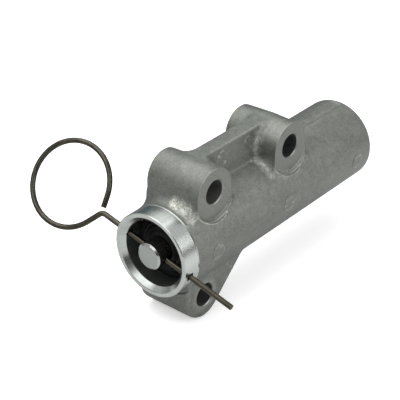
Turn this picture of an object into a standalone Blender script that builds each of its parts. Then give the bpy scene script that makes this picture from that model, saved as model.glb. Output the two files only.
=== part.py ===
"""Hydraulic timing belt tensioner with its locking pin, in metres.

The bore's axis is Y: the plunger rod's end face is at the origin and the rod comes out
towards -Y. +Z goes up to the two top bosses, and X is the direction of the three bolts.
"""
import math

import bmesh
import bpy
from mathutils import Matrix, Vector

# Clearance between neighbouring pieces, and how round things are.
GAP = 0.0003
ROUND_STEPS = 56
SMALL_STEPS = 32
ARC_STEP = math.radians(13)

# Radii, built outwards from the rod: socket, neck, wear ring, reservoir, walls.
ROD_RADIUS = 0.0050
NECK_WALL = 0.0017
WEAR_RING_WALL = 0.0028
GUIDE_SHOULDER = 0.0011
MOUTH_STEP = 0.0010
COLLAR_WALL = 0.0033
BODY_WALL = 0.0055
SLEEVE_WALL = 0.0022

# Lengths along the bore, from the rod's face to the housing's rear end.
RIM_SETBACK = 0.0010
MOUTH_DEPTH = 0.0114
MOUTH_CHAMFER = 0.0013
COLLAR_LENGTH = 0.0075
SNAP_LAND = 0.0014
SNAP_THICKNESS = 0.0012
SNAP_WIDTH = 0.0022
SEAL_LENGTH = 0.0055
WASHER_THICKNESS = 0.0010
GUIDE_LENGTH = 0.0083
STROKE = 0.0100
STOP_CLEARANCE = 0.0004
SLEEVE_SETBACK = 0.0156
SLEEVE_LENGTH = 0.0500
SLEEVE_FLOOR = 0.0030
END_WALL = 0.0050
END_ROUND = 0.0018
ROD_CHAMFER = 0.0006

# Bosses, ear and web of the casting.
BOLT_HOLE_RADIUS = 0.00435
BOSS_WALL = 0.00485
BOSS_RISE = 0.0037
EAR_DROP = 0.0039
FRONT_BOSS_Y = 0.0222
BOSS_SPACING = 0.0426
EAR_Y = 0.0171
PAD_NEAR = 0.0110
PAD_FAR = 0.0118
SPOT_CLEARANCE = 0.0014
HOLE_CHAMFER = 0.0004
WEB_THICKNESS = 0.0063
WEB_SHIFT = 0.0036
WEB_SETDOWN = 0.0002
WEB_FILLET = 0.0018
FOOT_FILLET = 0.0024
EAR_SLOPE = math.radians(43)
EAR_FILLET = 0.0060
CAST_EDGE = 0.0006
MACHINED_EDGE = 0.00025
STRIP_WIDTH = 0.0046
STRIP_HEIGHT = 0.0003

# Locking pin: a straight wire through collar and rod, a neck bend and a finger ring.
WIRE_RADIUS = 0.0010
PIN_Y = 0.0042
PIN_SLOPE = math.radians(14)
PIN_TAIL = 0.0342
PIN_NECK = 0.0255
PIN_HOLE_RADIUS = 0.0016
ROD_HOLE_CLEARANCE = 0.0004
RING_RADIUS = 0.0156
RING_STANDOFF = 0.0012
RING_OFFSET = 0.0015
RING_TILT = math.radians(36.5)
RING_END = math.radians(165)
RING_TAIL = 0.0041
NECK_RADIUS = 0.0026

# Rubber boot and the ring behind its bead.
BOOT_WALL = 0.0011
BOOT_BEAD_LENGTH = 0.0017
BOOT_BEAD_WIDTH = 0.0016
BOOT_FOLDS = 3
BOOT_FOLD_HEIGHT = 0.0004
LIP_Y = 0.0066
LIP_LENGTH = 0.0016
INSERT_LENGTH = 0.0010
INSERT_WIDTH = 0.0024

# Seal, guide, wear ring and clip.
LIP_WALL = 0.0010
GARTER_WIRE = 0.0006
SEAL_FRONT_WALL = 0.0020
SEAL_OUTER_WALL = 0.0014
O_RING_WIRE = 0.00075
WEAR_RING_LENGTH = 0.0045
CLIP_WIRE = 0.0005

# Piston and its check valve.
SOCKET_DEPTH = 0.0077
NECK_LEAD = 0.0018
FLANGE_LENGTH = 0.0030
SHANK_LENGTH = 0.0267
PASSAGE_RADIUS = 0.0016
PORT_RADIUS = 0.0012
POCKET_DEPTH = 0.0077
POCKET_WALL = 0.0024
SEAT_THICKNESS = 0.0030
SEAT_HOLE_RADIUS = 0.0015
BALL_RADIUS = 0.0022
BALL_LIFT = 0.0008
BALL_SPRING_LENGTH = 0.0024
BALL_SPRING_WIRE = 0.0002
CAGE_WALL = 0.0008
CAGE_WINDOWS = 3

# Springs.
SPRING_WIRE = 0.0011
SPRING_COILS = 6
SPRING_POINTS = 14

# Places that follow from the sizes above.
SOCKET_RADIUS = ROD_RADIUS + GAP
NECK_RADIUS_OUT = SOCKET_RADIUS + NECK_WALL
RESERVOIR_RADIUS = NECK_RADIUS_OUT + WEAR_RING_WALL + 2 * GAP
SEAL_BORE_RADIUS = RESERVOIR_RADIUS + GUIDE_SHOULDER
MOUTH_RADIUS = SEAL_BORE_RADIUS + MOUTH_STEP
COLLAR_RADIUS = MOUTH_RADIUS + COLLAR_WALL
BODY_RADIUS = RESERVOIR_RADIUS + BODY_WALL
BOSS_RADIUS = BOLT_HOLE_RADIUS + BOSS_WALL
BOSS_Z = BODY_RADIUS + BOSS_RISE
WEB_TOP = BOSS_Z + BOSS_RADIUS - WEB_SETDOWN
EAR_Z = -(BODY_RADIUS + EAR_DROP)
REAR_BOSS_Y = FRONT_BOSS_Y + BOSS_SPACING
MOUTH_END = RIM_SETBACK + MOUTH_DEPTH
COLLAR_END = RIM_SETBACK + COLLAR_LENGTH
SNAP_GROOVE_Y = MOUTH_END + SNAP_LAND
SEAL_Y = SNAP_GROOVE_Y + SNAP_THICKNESS + 2 * GAP
WASHER_Y = SEAL_Y + SEAL_LENGTH + GAP
GUIDE_Y = WASHER_Y + WASHER_THICKNESS + GAP
GUIDE_END = GUIDE_Y + GUIDE_LENGTH
SHOULDER_Y = GUIDE_END + GAP
PISTON_Y = GUIDE_END + STROKE + STOP_CLEARANCE
SOCKET_END = PISTON_Y + SOCKET_DEPTH
ROD_END = SOCKET_END - GAP
CLIP_Y = PISTON_Y + NECK_LEAD - CLIP_WIRE - GAP
WEAR_RING_Y = PISTON_Y + NECK_LEAD
FLANGE_Y = WEAR_RING_Y + WEAR_RING_LENGTH + GAP
FLANGE_END = FLANGE_Y + FLANGE_LENGTH
SLEEVE_Y = PISTON_Y + SLEEVE_SETBACK
SLEEVE_END = SLEEVE_Y + SLEEVE_LENGTH
SLEEVE_BORE = RESERVOIR_RADIUS - GAP - SLEEVE_WALL
FLOOR_Y = SLEEVE_END + GAP
BODY_END = FLOOR_Y + END_WALL
SHANK_RADIUS = SLEEVE_BORE - GAP
SHANK_END = FLANGE_END + SHANK_LENGTH
POCKET_RADIUS = SHANK_RADIUS - POCKET_WALL
POCKET_Y = SHANK_END - POCKET_DEPTH
SEAT_Y = POCKET_Y + GAP
SEAT_END = SEAT_Y + SEAT_THICKNESS
BALL_Y = SEAT_END + math.sqrt((BALL_RADIUS + GAP) ** 2 - SEAT_HOLE_RADIUS ** 2)
CAGE_BORE = BALL_RADIUS + GAP
CAGE_Y = SEAT_END + GAP
CAGE_INNER_END = BALL_Y + BALL_RADIUS + BALL_SPRING_LENGTH + 2 * GAP
CAGE_END = CAGE_INNER_END + CAGE_WALL
SPRING_Y = SHANK_END + GAP
SPRING_END = SLEEVE_END - SLEEVE_FLOOR - GAP
SPRING_RADIUS = SLEEVE_BORE - 2 * GAP - SPRING_WIRE
RING_REACH = RING_RADIUS + RING_STANDOFF
PIN_DIRECTION = Vector((math.cos(PIN_SLOPE), 0, -math.sin(PIN_SLOPE)))


def start_scene():
    """Clear the file and make one collection for the parts and one for the cutters."""
    for item in list(bpy.data.objects):
        bpy.data.objects.remove(item, do_unlink=True)
    groups = {}
    for name in ("timing_belt_tensioner", "cutters"):
        groups[name] = bpy.data.collections.new(name)
        bpy.context.scene.collection.children.link(groups[name])
    return groups["timing_belt_tensioner"], groups["cutters"]


def make_material(name, colour, roughness, metallic):
    material = bpy.data.materials.new(name)
    material.use_nodes = True
    shader = material.node_tree.nodes["Principled BSDF"]
    shader.inputs["Base Color"].default_value = (*colour, 1)
    shader.inputs["Roughness"].default_value = roughness
    shader.inputs["Metallic"].default_value = metallic
    material.diffuse_color = (*colour, 1)
    return material


def place(item, group, material=None, matrix=None):
    """Link an object into a collection with its material and its place in the part."""
    group.objects.link(item)
    if material is not None:
        item.data.materials.append(material)
    if matrix is not None:
        item.matrix_world = matrix
    if group is CUTTERS:
        item.hide_render = True
        item.display_type = "WIRE"
    return item


def frame_matrix(origin, x_axis, y_axis):
    """A placing matrix from an origin and two axes at right angles."""
    x_axis = Vector(x_axis).normalized()
    y_axis = Vector(y_axis).normalized()
    z_axis = x_axis.cross(y_axis)
    matrix = Matrix((x_axis, y_axis, z_axis)).transposed().to_4x4()
    matrix.translation = Vector(origin)
    return matrix


def bore_axis(y=0.0):
    """Turned shapes on the bore's axis: their own Z runs along +Y."""
    return frame_matrix((0, y, 0), (1, 0, 0), (0, 0, -1))


def bolt_axis(y, z):
    """Turned shapes on a bolt's axis: their own Z runs along +X."""
    return frame_matrix((0, y, z), (0, 1, 0), (0, 0, 1))


def section_plane():
    """Flat outlines in (y, z), thickened along X."""
    return frame_matrix((0, 0, 0), (0, 1, 0), (0, 0, 1))


def turned(name, profile, group, material=None, matrix=None, steps=ROUND_STEPS):
    """A turned shape from (radius, height) points that run down its outer side.

    A profile that starts and ends on the axis gives a solid, any other is closed to a ring.
    """
    mesh = bpy.data.meshes.new(name)
    points = [(radius, 0, height) for radius, height in profile]
    edges = [(i, i + 1) for i in range(len(points) - 1)]
    if profile[0][0] > 0:
        edges.append((len(points) - 1, 0))
    mesh.from_pydata(points, edges, [])
    item = bpy.data.objects.new(name, mesh)
    place(item, group, material, matrix or bore_axis())
    screw = item.modifiers.new("turn", "SCREW")
    screw.steps = steps
    screw.render_steps = steps
    screw.use_merge_vertices = True
    screw.merge_threshold = 0.00001
    screw.use_smooth_shade = True
    return item


def mesh_of(item, smooth=40):
    """The evaluated shape of an object as an editable mesh object in the same place."""
    depsgraph = bpy.context.evaluated_depsgraph_get()
    mesh = bpy.data.meshes.new_from_object(item.evaluated_get(depsgraph))
    bm = bmesh.new()
    bm.from_mesh(mesh)
    bmesh.ops.remove_doubles(bm, verts=bm.verts, dist=0.000005)
    bmesh.ops.recalc_face_normals(bm, faces=bm.faces)
    bm.to_mesh(mesh)
    bm.free()
    matrix = item.matrix_world.copy()
    name = item.name
    group = item.users_collection[0]
    bpy.data.objects.remove(item, do_unlink=True)
    mesh.name = name
    result = bpy.data.objects.new(name, mesh)
    result.matrix_world = matrix
    group.objects.link(result)
    if group is CUTTERS:
        result.hide_render = True
        result.display_type = "WIRE"
    shade(result, smooth)
    return result


def shade(item, angle=40):
    item.data.shade_smooth()
    item.data.set_sharp_from_angle(angle=math.radians(angle))


def cut(item, cutter, operation="DIFFERENCE"):
    modifier = item.modifiers.new(cutter.name, "BOOLEAN")
    modifier.operation = operation
    modifier.solver = "EXACT"
    modifier.object = cutter
    return modifier


def bevel(item, width, segments=2, angle=50):
    modifier = item.modifiers.new("edge", "BEVEL")
    modifier.width = width
    modifier.segments = segments
    modifier.limit_method = "ANGLE"
    modifier.angle_limit = math.radians(angle)
    return modifier


def arc(centre, radius, start, end):
    """Points on an arc from one angle to another, both ends included."""
    count = max(2, math.ceil(abs(end - start) / ARC_STEP) + 1)
    angles = [start + (end - start) * i / (count - 1) for i in range(count)]
    return [(centre[0] + radius * math.cos(a), centre[1] + radius * math.sin(a))
            for a in angles]


def prism(name, outline, near, far, edge=0.0):
    """A flat (y, z) outline, thick from x = -far to x = near, as a closed mesh."""
    curve = bpy.data.curves.new(name, "CURVE")
    curve.dimensions = "2D"
    curve.fill_mode = "BOTH"
    curve.extrude = (near + far) / 2
    curve.render_resolution_u = 0
    spline = curve.splines.new("POLY")
    spline.points.add(len(outline) - 1)
    for point, (y, z) in zip(spline.points, outline):
        point.co = (y, z, 0, 1)
    spline.use_cyclic_u = True
    item = bpy.data.objects.new(name, curve)
    matrix = section_plane()
    matrix.translation.x = (near - far) / 2
    place(item, CUTTERS, None, matrix)
    bpy.context.view_layer.update()
    item = mesh_of(item)
    if edge > 0:
        bevel(item, edge)
    return item


def tube(name, points, radius, group, material, matrix=None, sides=2):
    """A wire through the points, with closed ends."""
    curve = bpy.data.curves.new(name, "CURVE")
    curve.dimensions = "3D"
    curve.bevel_depth = radius
    curve.bevel_resolution = sides
    curve.use_fill_caps = True
    curve.render_resolution_u = 0
    spline = curve.splines.new("POLY")
    spline.points.add(len(points) - 1)
    for point, place_of in zip(spline.points, points):
        point.co = (*place_of, 1)
    item = bpy.data.objects.new(name, curve)
    return place(item, group, material, matrix)


def ring_section(inner, outer, start, end):
    """Profile of a plain ring between two radii and two heights."""
    return [(outer, end), (outer, start), (inner, start), (inner, end)]


def round_section(radius, height, wire, count=10):
    """Profile of a ring of round wire."""
    angles = [2 * math.pi * i / count for i in range(count)]
    return [(radius + wire * math.cos(a), height - wire * math.sin(a)) for a in angles]


def body_blank():
    """The turned outside of the casting: cylinder, cast step and machined collar."""
    step = BODY_RADIUS - COLLAR_RADIUS
    profile = [(0, BODY_END)]
    corner = (BODY_RADIUS - END_ROUND, BODY_END - END_ROUND)
    profile += [(r, y) for r, y in arc(corner, END_ROUND, math.pi / 2, 0)]
    profile += [(BODY_RADIUS, COLLAR_END + step)]
    profile += [(COLLAR_RADIUS, COLLAR_END), (COLLAR_RADIUS, RIM_SETBACK + MACHINED_EDGE)]
    profile += [(COLLAR_RADIUS - MACHINED_EDGE, RIM_SETBACK), (0, RIM_SETBACK)]
    return turned("housing", profile, PARTS, CAST)


def boss_column(name, y):
    """One top boss: round above, straight flanks down into the cylinder."""
    outline = arc((y, BOSS_Z), BOSS_RADIUS, 0, math.pi)
    foot = BODY_RADIUS - BODY_WALL / 2
    outline += [(y - BOSS_RADIUS, foot / 2), (y + BOSS_RADIUS, foot / 2)]
    return prism(name, outline, PAD_NEAR, PAD_FAR, MACHINED_EDGE)


def boss_foot(name, y, front_fillet):
    """Cast fillet all round the foot of a boss, turned about the bore's axis."""
    base = BODY_RADIUS - BODY_WALL / 2
    rear = y + BOSS_RADIUS
    front = y - BOSS_RADIUS
    profile = [(base, rear + FOOT_FILLET)]
    middle = (BODY_RADIUS + FOOT_FILLET, rear + FOOT_FILLET)
    profile += arc(middle, FOOT_FILLET, -math.pi, -math.pi / 2)
    middle = (BODY_RADIUS + front_fillet, front - front_fillet)
    profile += arc(middle, front_fillet, math.pi / 2, math.pi)
    profile += [(base, front - front_fillet)]
    ring = turned(name, profile, CUTTERS)
    span = BOSS_RADIUS + 2 * front_fillet
    high = BODY_RADIUS + 2 * front_fillet
    block = prism(name + "_block", [(y - span, 0), (y + span, 0),
                                    (y + span, high), (y - span, high)],
                  PAD_NEAR - MACHINED_EDGE - GAP, PAD_FAR - MACHINED_EDGE)
    cut(ring, block, "INTERSECT")
    bpy.context.view_layer.update()
    return mesh_of(ring)


def web():
    """The wall that joins the two top bosses along the casting's parting plane."""
    outline = [(FRONT_BOSS_Y, BODY_RADIUS / 2), (REAR_BOSS_Y, BODY_RADIUS / 2),
               (REAR_BOSS_Y, WEB_TOP), (FRONT_BOSS_Y, WEB_TOP)]
    return prism("web", outline, WEB_THICKNESS - WEB_SHIFT, WEB_SHIFT, CAST_EDGE)


def web_root(name, y, side):
    """Cast fillets between a boss and both faces of the web, turned about the bolt's axis."""
    near = WEB_THICKNESS - WEB_SHIFT
    far = -WEB_SHIFT
    inner = BOSS_RADIUS - BOSS_WALL / 4
    centre = BOSS_RADIUS + WEB_FILLET
    profile = [(inner, near + WEB_FILLET)]
    profile += arc((centre, near + WEB_FILLET), WEB_FILLET, math.pi, 1.5 * math.pi)
    profile += arc((centre, far - WEB_FILLET), WEB_FILLET, math.pi / 2, math.pi)
    profile += [(inner, far - WEB_FILLET)]
    ring = turned(name, profile, CUTTERS, matrix=bolt_axis(y, BOSS_Z))
    reach = y + side * 2 * centre
    start = y + side * GAP
    outline = [(start, BODY_RADIUS / 2), (reach, BODY_RADIUS / 2),
               (reach, WEB_TOP - CAST_EDGE), (start, WEB_TOP - CAST_EDGE)]
    if side < 0:
        outline.reverse()
    width = PAD_NEAR - MACHINED_EDGE - GAP
    cut(ring, prism(name + "_block", outline, width, width), "INTERSECT")
    bpy.context.view_layer.update()
    return mesh_of(ring)


def ear():
    """The lower ear: round tip, upright front, and a slope up to the cylinder behind."""
    centre = (EAR_Y, EAR_Z)
    slope = EAR_SLOPE
    tangent = -(math.pi / 2 - slope)
    outline = arc(centre, BOSS_RADIUS, math.pi, 2 * math.pi + tangent)
    tip = outline[-1]
    level = -math.sqrt(BODY_RADIUS ** 2 - PAD_NEAR ** 2)
    length = (level - tip[1]) / math.sin(slope)
    corner = (tip[0] + length * math.cos(slope), level)
    back = EAR_FILLET * math.tan(slope / 2)
    middle = (corner[0] + back, level - EAR_FILLET)
    outline += arc(middle, EAR_FILLET, math.pi / 2 + slope, math.pi / 2)
    outline += [(corner[0] + back, level / 2), (EAR_Y - BOSS_RADIUS, level / 2)]
    return prism("ear", outline, PAD_NEAR, PAD_FAR, CAST_EDGE)


def parting_strip(name, up):
    """Raised cast band along the cylinder, behind the rear boss."""
    top = up * (BODY_RADIUS + STRIP_HEIGHT)
    low = up * (BODY_RADIUS - BODY_WALL / 2)
    start = REAR_BOSS_Y
    outline = [(start, low), (BODY_END - END_ROUND, low), (BODY_END - END_ROUND, top),
               (start, top)]
    if up < 0:
        outline.reverse()
    return prism(name, outline, STRIP_WIDTH / 2, STRIP_WIDTH / 2)


def bore_cutter():
    """Everything that is bored from the front: mouth, snap ring groove, bore, reservoir."""
    front = RIM_SETBACK - MOUTH_CHAMFER
    flare = MOUTH_RADIUS + 2 * MOUTH_CHAMFER
    groove_end = SNAP_GROOVE_Y + SNAP_THICKNESS + 2 * GAP
    groove = MOUTH_RADIUS
    profile = [
        (0, FLOOR_Y),
        (RESERVOIR_RADIUS, FLOOR_Y),
        (RESERVOIR_RADIUS, SHOULDER_Y),
        (SEAL_BORE_RADIUS, SHOULDER_Y),
        (SEAL_BORE_RADIUS, groove_end),
        (groove, groove_end),
        (groove, SNAP_GROOVE_Y),
        (SEAL_BORE_RADIUS, SNAP_GROOVE_Y),
        (SEAL_BORE_RADIUS, MOUTH_END),
        (MOUTH_RADIUS, MOUTH_END),
        (MOUTH_RADIUS, RIM_SETBACK + MOUTH_CHAMFER),
        (flare, front),
        (0, front),
    ]
    return turned("bore", profile, CUTTERS)


def bolt_cutter(name, y, z):
    """A bolt hole right through, lightly chamfered at both faces."""
    radius = BOLT_HOLE_RADIUS
    past = 4 * HOLE_CHAMFER
    wide = radius + HOLE_CHAMFER + past
    profile = [
        (0, PAD_NEAR + past),
        (wide, PAD_NEAR + past),
        (radius, PAD_NEAR - HOLE_CHAMFER),
        (radius, -PAD_FAR + HOLE_CHAMFER),
        (wide, -PAD_FAR - past),
        (0, -PAD_FAR - past),
    ]
    return turned(name, profile, CUTTERS, matrix=bolt_axis(y, z), steps=SMALL_STEPS)


def spot_cutter(name, y, side, pad):
    """Clears the cylinder's side round a bolt pad, so that a bolt head seats flat."""
    radius = BOSS_RADIUS + SPOT_CLEARANCE
    depth = 2 * BODY_RADIUS
    low, high = (pad, depth) if side > 0 else (-depth, -pad)
    profile = [(0, high), (radius, high), (radius, low), (0, low)]
    return turned(name, profile, CUTTERS, matrix=bolt_axis(y, BOSS_Z), steps=SMALL_STEPS)


def pin_hole_cutter(name, radius, reach):
    """A round cutter along the locking pin."""
    matrix = frame_matrix((0, PIN_Y, 0), (0, 1, 0), PIN_DIRECTION.cross(Vector((0, 1, 0))))
    profile = [(0, reach), (radius, reach), (radius, -reach), (0, -reach)]
    return turned(name, profile, CUTTERS, matrix=matrix, steps=20)


def housing():
    item = body_blank()
    skin_start = COLLAR_END + BODY_RADIUS - COLLAR_RADIUS
    collar_fillet = FRONT_BOSS_Y - BOSS_RADIUS - skin_start - GAP
    for y, name, fillet in ((FRONT_BOSS_Y, "front_boss", collar_fillet),
                            (REAR_BOSS_Y, "rear_boss", FOOT_FILLET)):
        cut(item, boss_column(name, y), "UNION")
        cut(item, boss_foot(name + "_foot", y, fillet), "UNION")
    cut(item, web(), "UNION")
    cut(item, web_root("front_root", FRONT_BOSS_Y, 1), "UNION")
    cut(item, web_root("rear_root", REAR_BOSS_Y, -1), "UNION")
    cut(item, ear(), "UNION")
    cut(item, parting_strip("top_strip", 1), "UNION")
    cut(item, parting_strip("bottom_strip", -1), "UNION")
    for y, name in ((FRONT_BOSS_Y, "front"), (REAR_BOSS_Y, "rear")):
        cut(item, spot_cutter(name + "_near_spot", y, 1, PAD_NEAR))
        cut(item, spot_cutter(name + "_far_spot", y, -1, PAD_FAR))
        cut(item, bolt_cutter(name + "_bolt", y, BOSS_Z))
    cut(item, bolt_cutter("ear_bolt", EAR_Y, EAR_Z))
    cut(item, bore_cutter())
    cut(item, pin_hole_cutter("pin_hole", PIN_HOLE_RADIUS, BODY_RADIUS + BOSS_RISE))
    return item


def locking_pin():
    """One wire: tail, straight pin, neck bend, and a ring that ends just above the neck."""
    to_ring = -PIN_DIRECTION
    across = PIN_DIRECTION.cross(Vector((0, 1, 0)))
    up = math.cos(RING_TILT) * across + math.sin(RING_TILT) * Vector((0, 1, 0))
    centre = (PIN_NECK + RING_REACH, RING_OFFSET)
    distance = math.hypot(RING_REACH, RING_OFFSET)
    bearing = math.atan2(RING_OFFSET, RING_REACH)
    heading = bearing - math.asin(RING_RADIUS / distance)
    setback = NECK_RADIUS * math.tan(-heading / 2)
    bend_centre = (PIN_NECK - setback, -NECK_RADIUS)
    path = [(-PIN_TAIL, 0), (0, 0)]
    path += arc(bend_centre, NECK_RADIUS, math.pi / 2, math.pi / 2 + heading)
    start = heading - math.pi / 2
    path += arc(centre, RING_RADIUS, start, RING_END)
    path.append((path[-1][0] - RING_TAIL * math.sin(RING_END),
                 path[-1][1] + RING_TAIL * math.cos(RING_END)))
    points = [(u, v, 0) for u, v in path]
    matrix = frame_matrix((0, PIN_Y, 0), to_ring, up)
    return tube("locking_pin", points, WIRE_RADIUS, PARTS, WIRE, matrix, sides=3)


def plunger_rod():
    """The rod: chamfered face, boot groove, round rear end and the slot for the pin."""
    groove = ROD_RADIUS - 2 * GAP
    profile = [(0, ROD_END)]
    nose = ROD_RADIUS / 2
    profile += arc((ROD_RADIUS - nose, ROD_END - nose), nose, math.pi / 2, 0)
    profile += [
        (ROD_RADIUS, LIP_Y + LIP_LENGTH + GAP),
        (groove, LIP_Y + LIP_LENGTH + GAP),
        (groove, LIP_Y - GAP),
        (ROD_RADIUS, LIP_Y - GAP),
        (ROD_RADIUS, ROD_CHAMFER),
        (ROD_RADIUS - ROD_CHAMFER, 0),
        (0, 0),
    ]
    item = turned("plunger_rod", profile, PARTS, ROD, steps=SMALL_STEPS)
    half = WIRE_RADIUS + ROD_HOLE_CLEARANCE
    reach = 2 * ROD_RADIUS
    outline = arc((0, 0), half, math.pi, 2 * math.pi)
    outline += arc((0, STROKE), half, 0, math.pi)
    slot = prism("rod_slot", outline, reach, reach)
    side = PIN_DIRECTION.cross(Vector((0, 1, 0)))
    slot.matrix_world = frame_matrix((0, PIN_Y, 0), side, (0, 1, 0))
    cut(item, slot)
    return item


def dust_boot():
    """Folded cone of rubber from the bead in the mouth to the lip on the rod."""
    outer = MOUTH_RADIUS - GAP
    bead_end = MOUTH_END - GAP - INSERT_LENGTH - GAP
    bead = bead_end - BOOT_BEAD_LENGTH
    lip = ROD_RADIUS - GAP
    rise_from = (outer - BOOT_BEAD_WIDTH, bead + BOOT_WALL / 2)
    rise_to = (lip + BOOT_WALL, LIP_Y + LIP_LENGTH / 2)
    count = 6 * BOOT_FOLDS
    middle = []
    for i in range(count + 1):
        share = i / count
        wave = BOOT_FOLD_HEIGHT * math.sin(2 * math.pi * BOOT_FOLDS * share)
        radius = rise_from[0] + (rise_to[0] - rise_from[0]) * share
        height = rise_from[1] + (rise_to[1] - rise_from[1]) * share
        middle.append((radius, height + wave))
    half = BOOT_WALL / 2
    profile = [(outer, bead_end), (outer, bead)]
    profile += [(r, y - half) for r, y in middle[:-1]]
    profile += [(lip + BOOT_WALL, LIP_Y), (lip, LIP_Y)]
    profile += [(lip, LIP_Y + LIP_LENGTH), (lip + BOOT_WALL, LIP_Y + LIP_LENGTH)]
    profile += [(r, y + half) for r, y in reversed(middle[:-1])]
    profile += [(outer - BOOT_BEAD_WIDTH, bead_end)]
    return turned("dust_boot", profile, PARTS, RUBBER, steps=48)


def boot_insert_ring():
    end = MOUTH_END - GAP
    outer = MOUTH_RADIUS - GAP
    profile = ring_section(outer - INSERT_WIDTH, outer, end - INSERT_LENGTH, end)
    return turned("boot_insert_ring", profile, PARTS, STEEL, steps=SMALL_STEPS)


def seal_snap_ring():
    """Internal snap ring, open by a sixth of its turn."""
    start = SNAP_GROOVE_Y + GAP
    end = start + SNAP_THICKNESS
    outer = MOUTH_RADIUS - GAP
    inner = outer - SNAP_WIDTH
    item = turned("seal_snap_ring", ring_section(inner, outer, start, end), PARTS, STEEL,
                  steps=SMALL_STEPS)
    opening = math.radians(28)
    outline = [(0, 0), (-2 * outer * math.sin(opening), -2 * outer * math.cos(opening)),
               (2 * outer * math.sin(opening), -2 * outer * math.cos(opening))]
    wedge = prism("snap_ring_opening", outline, SNAP_THICKNESS, SNAP_THICKNESS)
    wedge.matrix_world = frame_matrix((0, (start + end) / 2, 0), (-1, 0, 0), (0, 0, 1))
    cut(item, wedge)
    return item


def seal_places():
    """Radii and heights that the seal and its garter spring share."""
    lip = ROD_RADIUS + GAP
    lip_y = SEAL_Y + 0.6 * SEAL_LENGTH
    garter = lip + LIP_WALL + 2 * GAP + GARTER_WIRE
    garter_y = lip_y + GARTER_WIRE / 2
    return lip, lip_y, garter, garter_y


def rod_seal():
    lip, lip_y, garter, garter_y = seal_places()
    outer = SEAL_BORE_RADIUS - GAP
    end = SEAL_Y + SEAL_LENGTH
    floor = SEAL_Y + SEAL_FRONT_WALL
    pocket = outer - SEAL_OUTER_WALL
    relief = lip + LIP_WALL / 2
    profile = [
        (outer, end),
        (outer, SEAL_Y),
        (relief, SEAL_Y),
        (lip, SEAL_Y + SEAL_FRONT_WALL / 3),
        (relief, floor - SEAL_FRONT_WALL / 4),
        (lip, lip_y),
        (relief, end - 2 * GAP),
        (lip + LIP_WALL + GAP, end - 2 * GAP),
        (lip + LIP_WALL, garter_y),
        (lip + LIP_WALL, floor + GAP),
        (garter, floor),
        (pocket, floor),
        (pocket, end),
    ]
    return turned("rod_seal", profile, PARTS, RUBBER, steps=SMALL_STEPS)


def garter_spring():
    lip, lip_y, garter, garter_y = seal_places()
    profile = round_section(garter, garter_y, GARTER_WIRE, 8)
    return turned("garter_spring", profile, PARTS, STEEL, steps=SMALL_STEPS)


def seal_washer():
    profile = ring_section(ROD_RADIUS + GAP, SEAL_BORE_RADIUS - GAP, WASHER_Y,
                           WASHER_Y + WASHER_THICKNESS)
    return turned("seal_washer", profile, PARTS, STEEL, steps=SMALL_STEPS)


def rod_guide():
    """Guide bush with its O-ring groove."""
    outer = SEAL_BORE_RADIUS - GAP
    inner = ROD_RADIUS + GAP
    middle = GUIDE_Y + GUIDE_LENGTH / 2
    half = O_RING_WIRE + GAP
    groove = outer - 2 * O_RING_WIRE - GAP
    profile = [
        (outer, GUIDE_END),
        (outer, middle + half),
        (groove, middle + half),
        (groove, middle - half),
        (outer, middle - half),
        (outer, GUIDE_Y),
        (inner, GUIDE_Y),
        (inner, GUIDE_END),
    ]
    return turned("rod_guide", profile, PARTS, BRONZE, steps=SMALL_STEPS)


def guide_o_ring():
    radius = SEAL_BORE_RADIUS - GAP - O_RING_WIRE
    profile = round_section(radius, GUIDE_Y + GUIDE_LENGTH / 2, O_RING_WIRE, 8)
    return turned("guide_o_ring", profile, PARTS, RUBBER, steps=SMALL_STEPS)


def wear_ring():
    profile = ring_section(NECK_RADIUS_OUT + GAP, RESERVOIR_RADIUS - GAP, WEAR_RING_Y,
                           WEAR_RING_Y + WEAR_RING_LENGTH)
    return turned("wear_ring", profile, PARTS, PLASTIC, steps=SMALL_STEPS)


def wear_ring_clip():
    radius = NECK_RADIUS_OUT - CLIP_WIRE + 2 * GAP
    profile = round_section(radius, CLIP_Y, CLIP_WIRE, 8)
    return turned("wear_ring_clip", profile, PARTS, STEEL, steps=SMALL_STEPS)


def piston():
    """Socket for the rod, clip groove, flange, shank with a cross port, and valve pocket."""
    groove = NECK_RADIUS_OUT - 2 * CLIP_WIRE + GAP
    half = CLIP_WIRE + GAP
    flange = RESERVOIR_RADIUS - 4 * GAP
    profile = [
        (POCKET_RADIUS, SHANK_END),
        (SHANK_RADIUS - GAP, SHANK_END),
        (SHANK_RADIUS, SHANK_END - GAP),
        (SHANK_RADIUS, FLANGE_END),
        (flange, FLANGE_END),
        (flange, FLANGE_Y),
        (NECK_RADIUS_OUT, FLANGE_Y),
        (NECK_RADIUS_OUT, CLIP_Y + half),
        (groove, CLIP_Y + half),
        (groove, CLIP_Y - half),
        (NECK_RADIUS_OUT, CLIP_Y - half),
        (NECK_RADIUS_OUT, PISTON_Y),
        (SOCKET_RADIUS, PISTON_Y),
        (SOCKET_RADIUS, SOCKET_END),
        (PASSAGE_RADIUS, SOCKET_END),
        (PASSAGE_RADIUS, POCKET_Y),
        (POCKET_RADIUS, POCKET_Y),
    ]
    item = turned("piston", profile, PARTS, HARD, steps=SMALL_STEPS)
    reach = 2 * SHANK_RADIUS
    port = turned("oil_port", [(0, reach), (PORT_RADIUS, reach), (PORT_RADIUS, -reach),
                               (0, -reach)], CUTTERS,
                  matrix=bolt_axis((FLANGE_END + SLEEVE_Y) / 2, 0), steps=12)
    cut(item, port)
    return item


def valve_seat():
    radius = POCKET_RADIUS - GAP
    profile = ring_section(SEAT_HOLE_RADIUS, radius, SEAT_Y, SEAT_END)
    return turned("valve_seat", profile, PARTS, HARD, steps=24)


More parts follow.
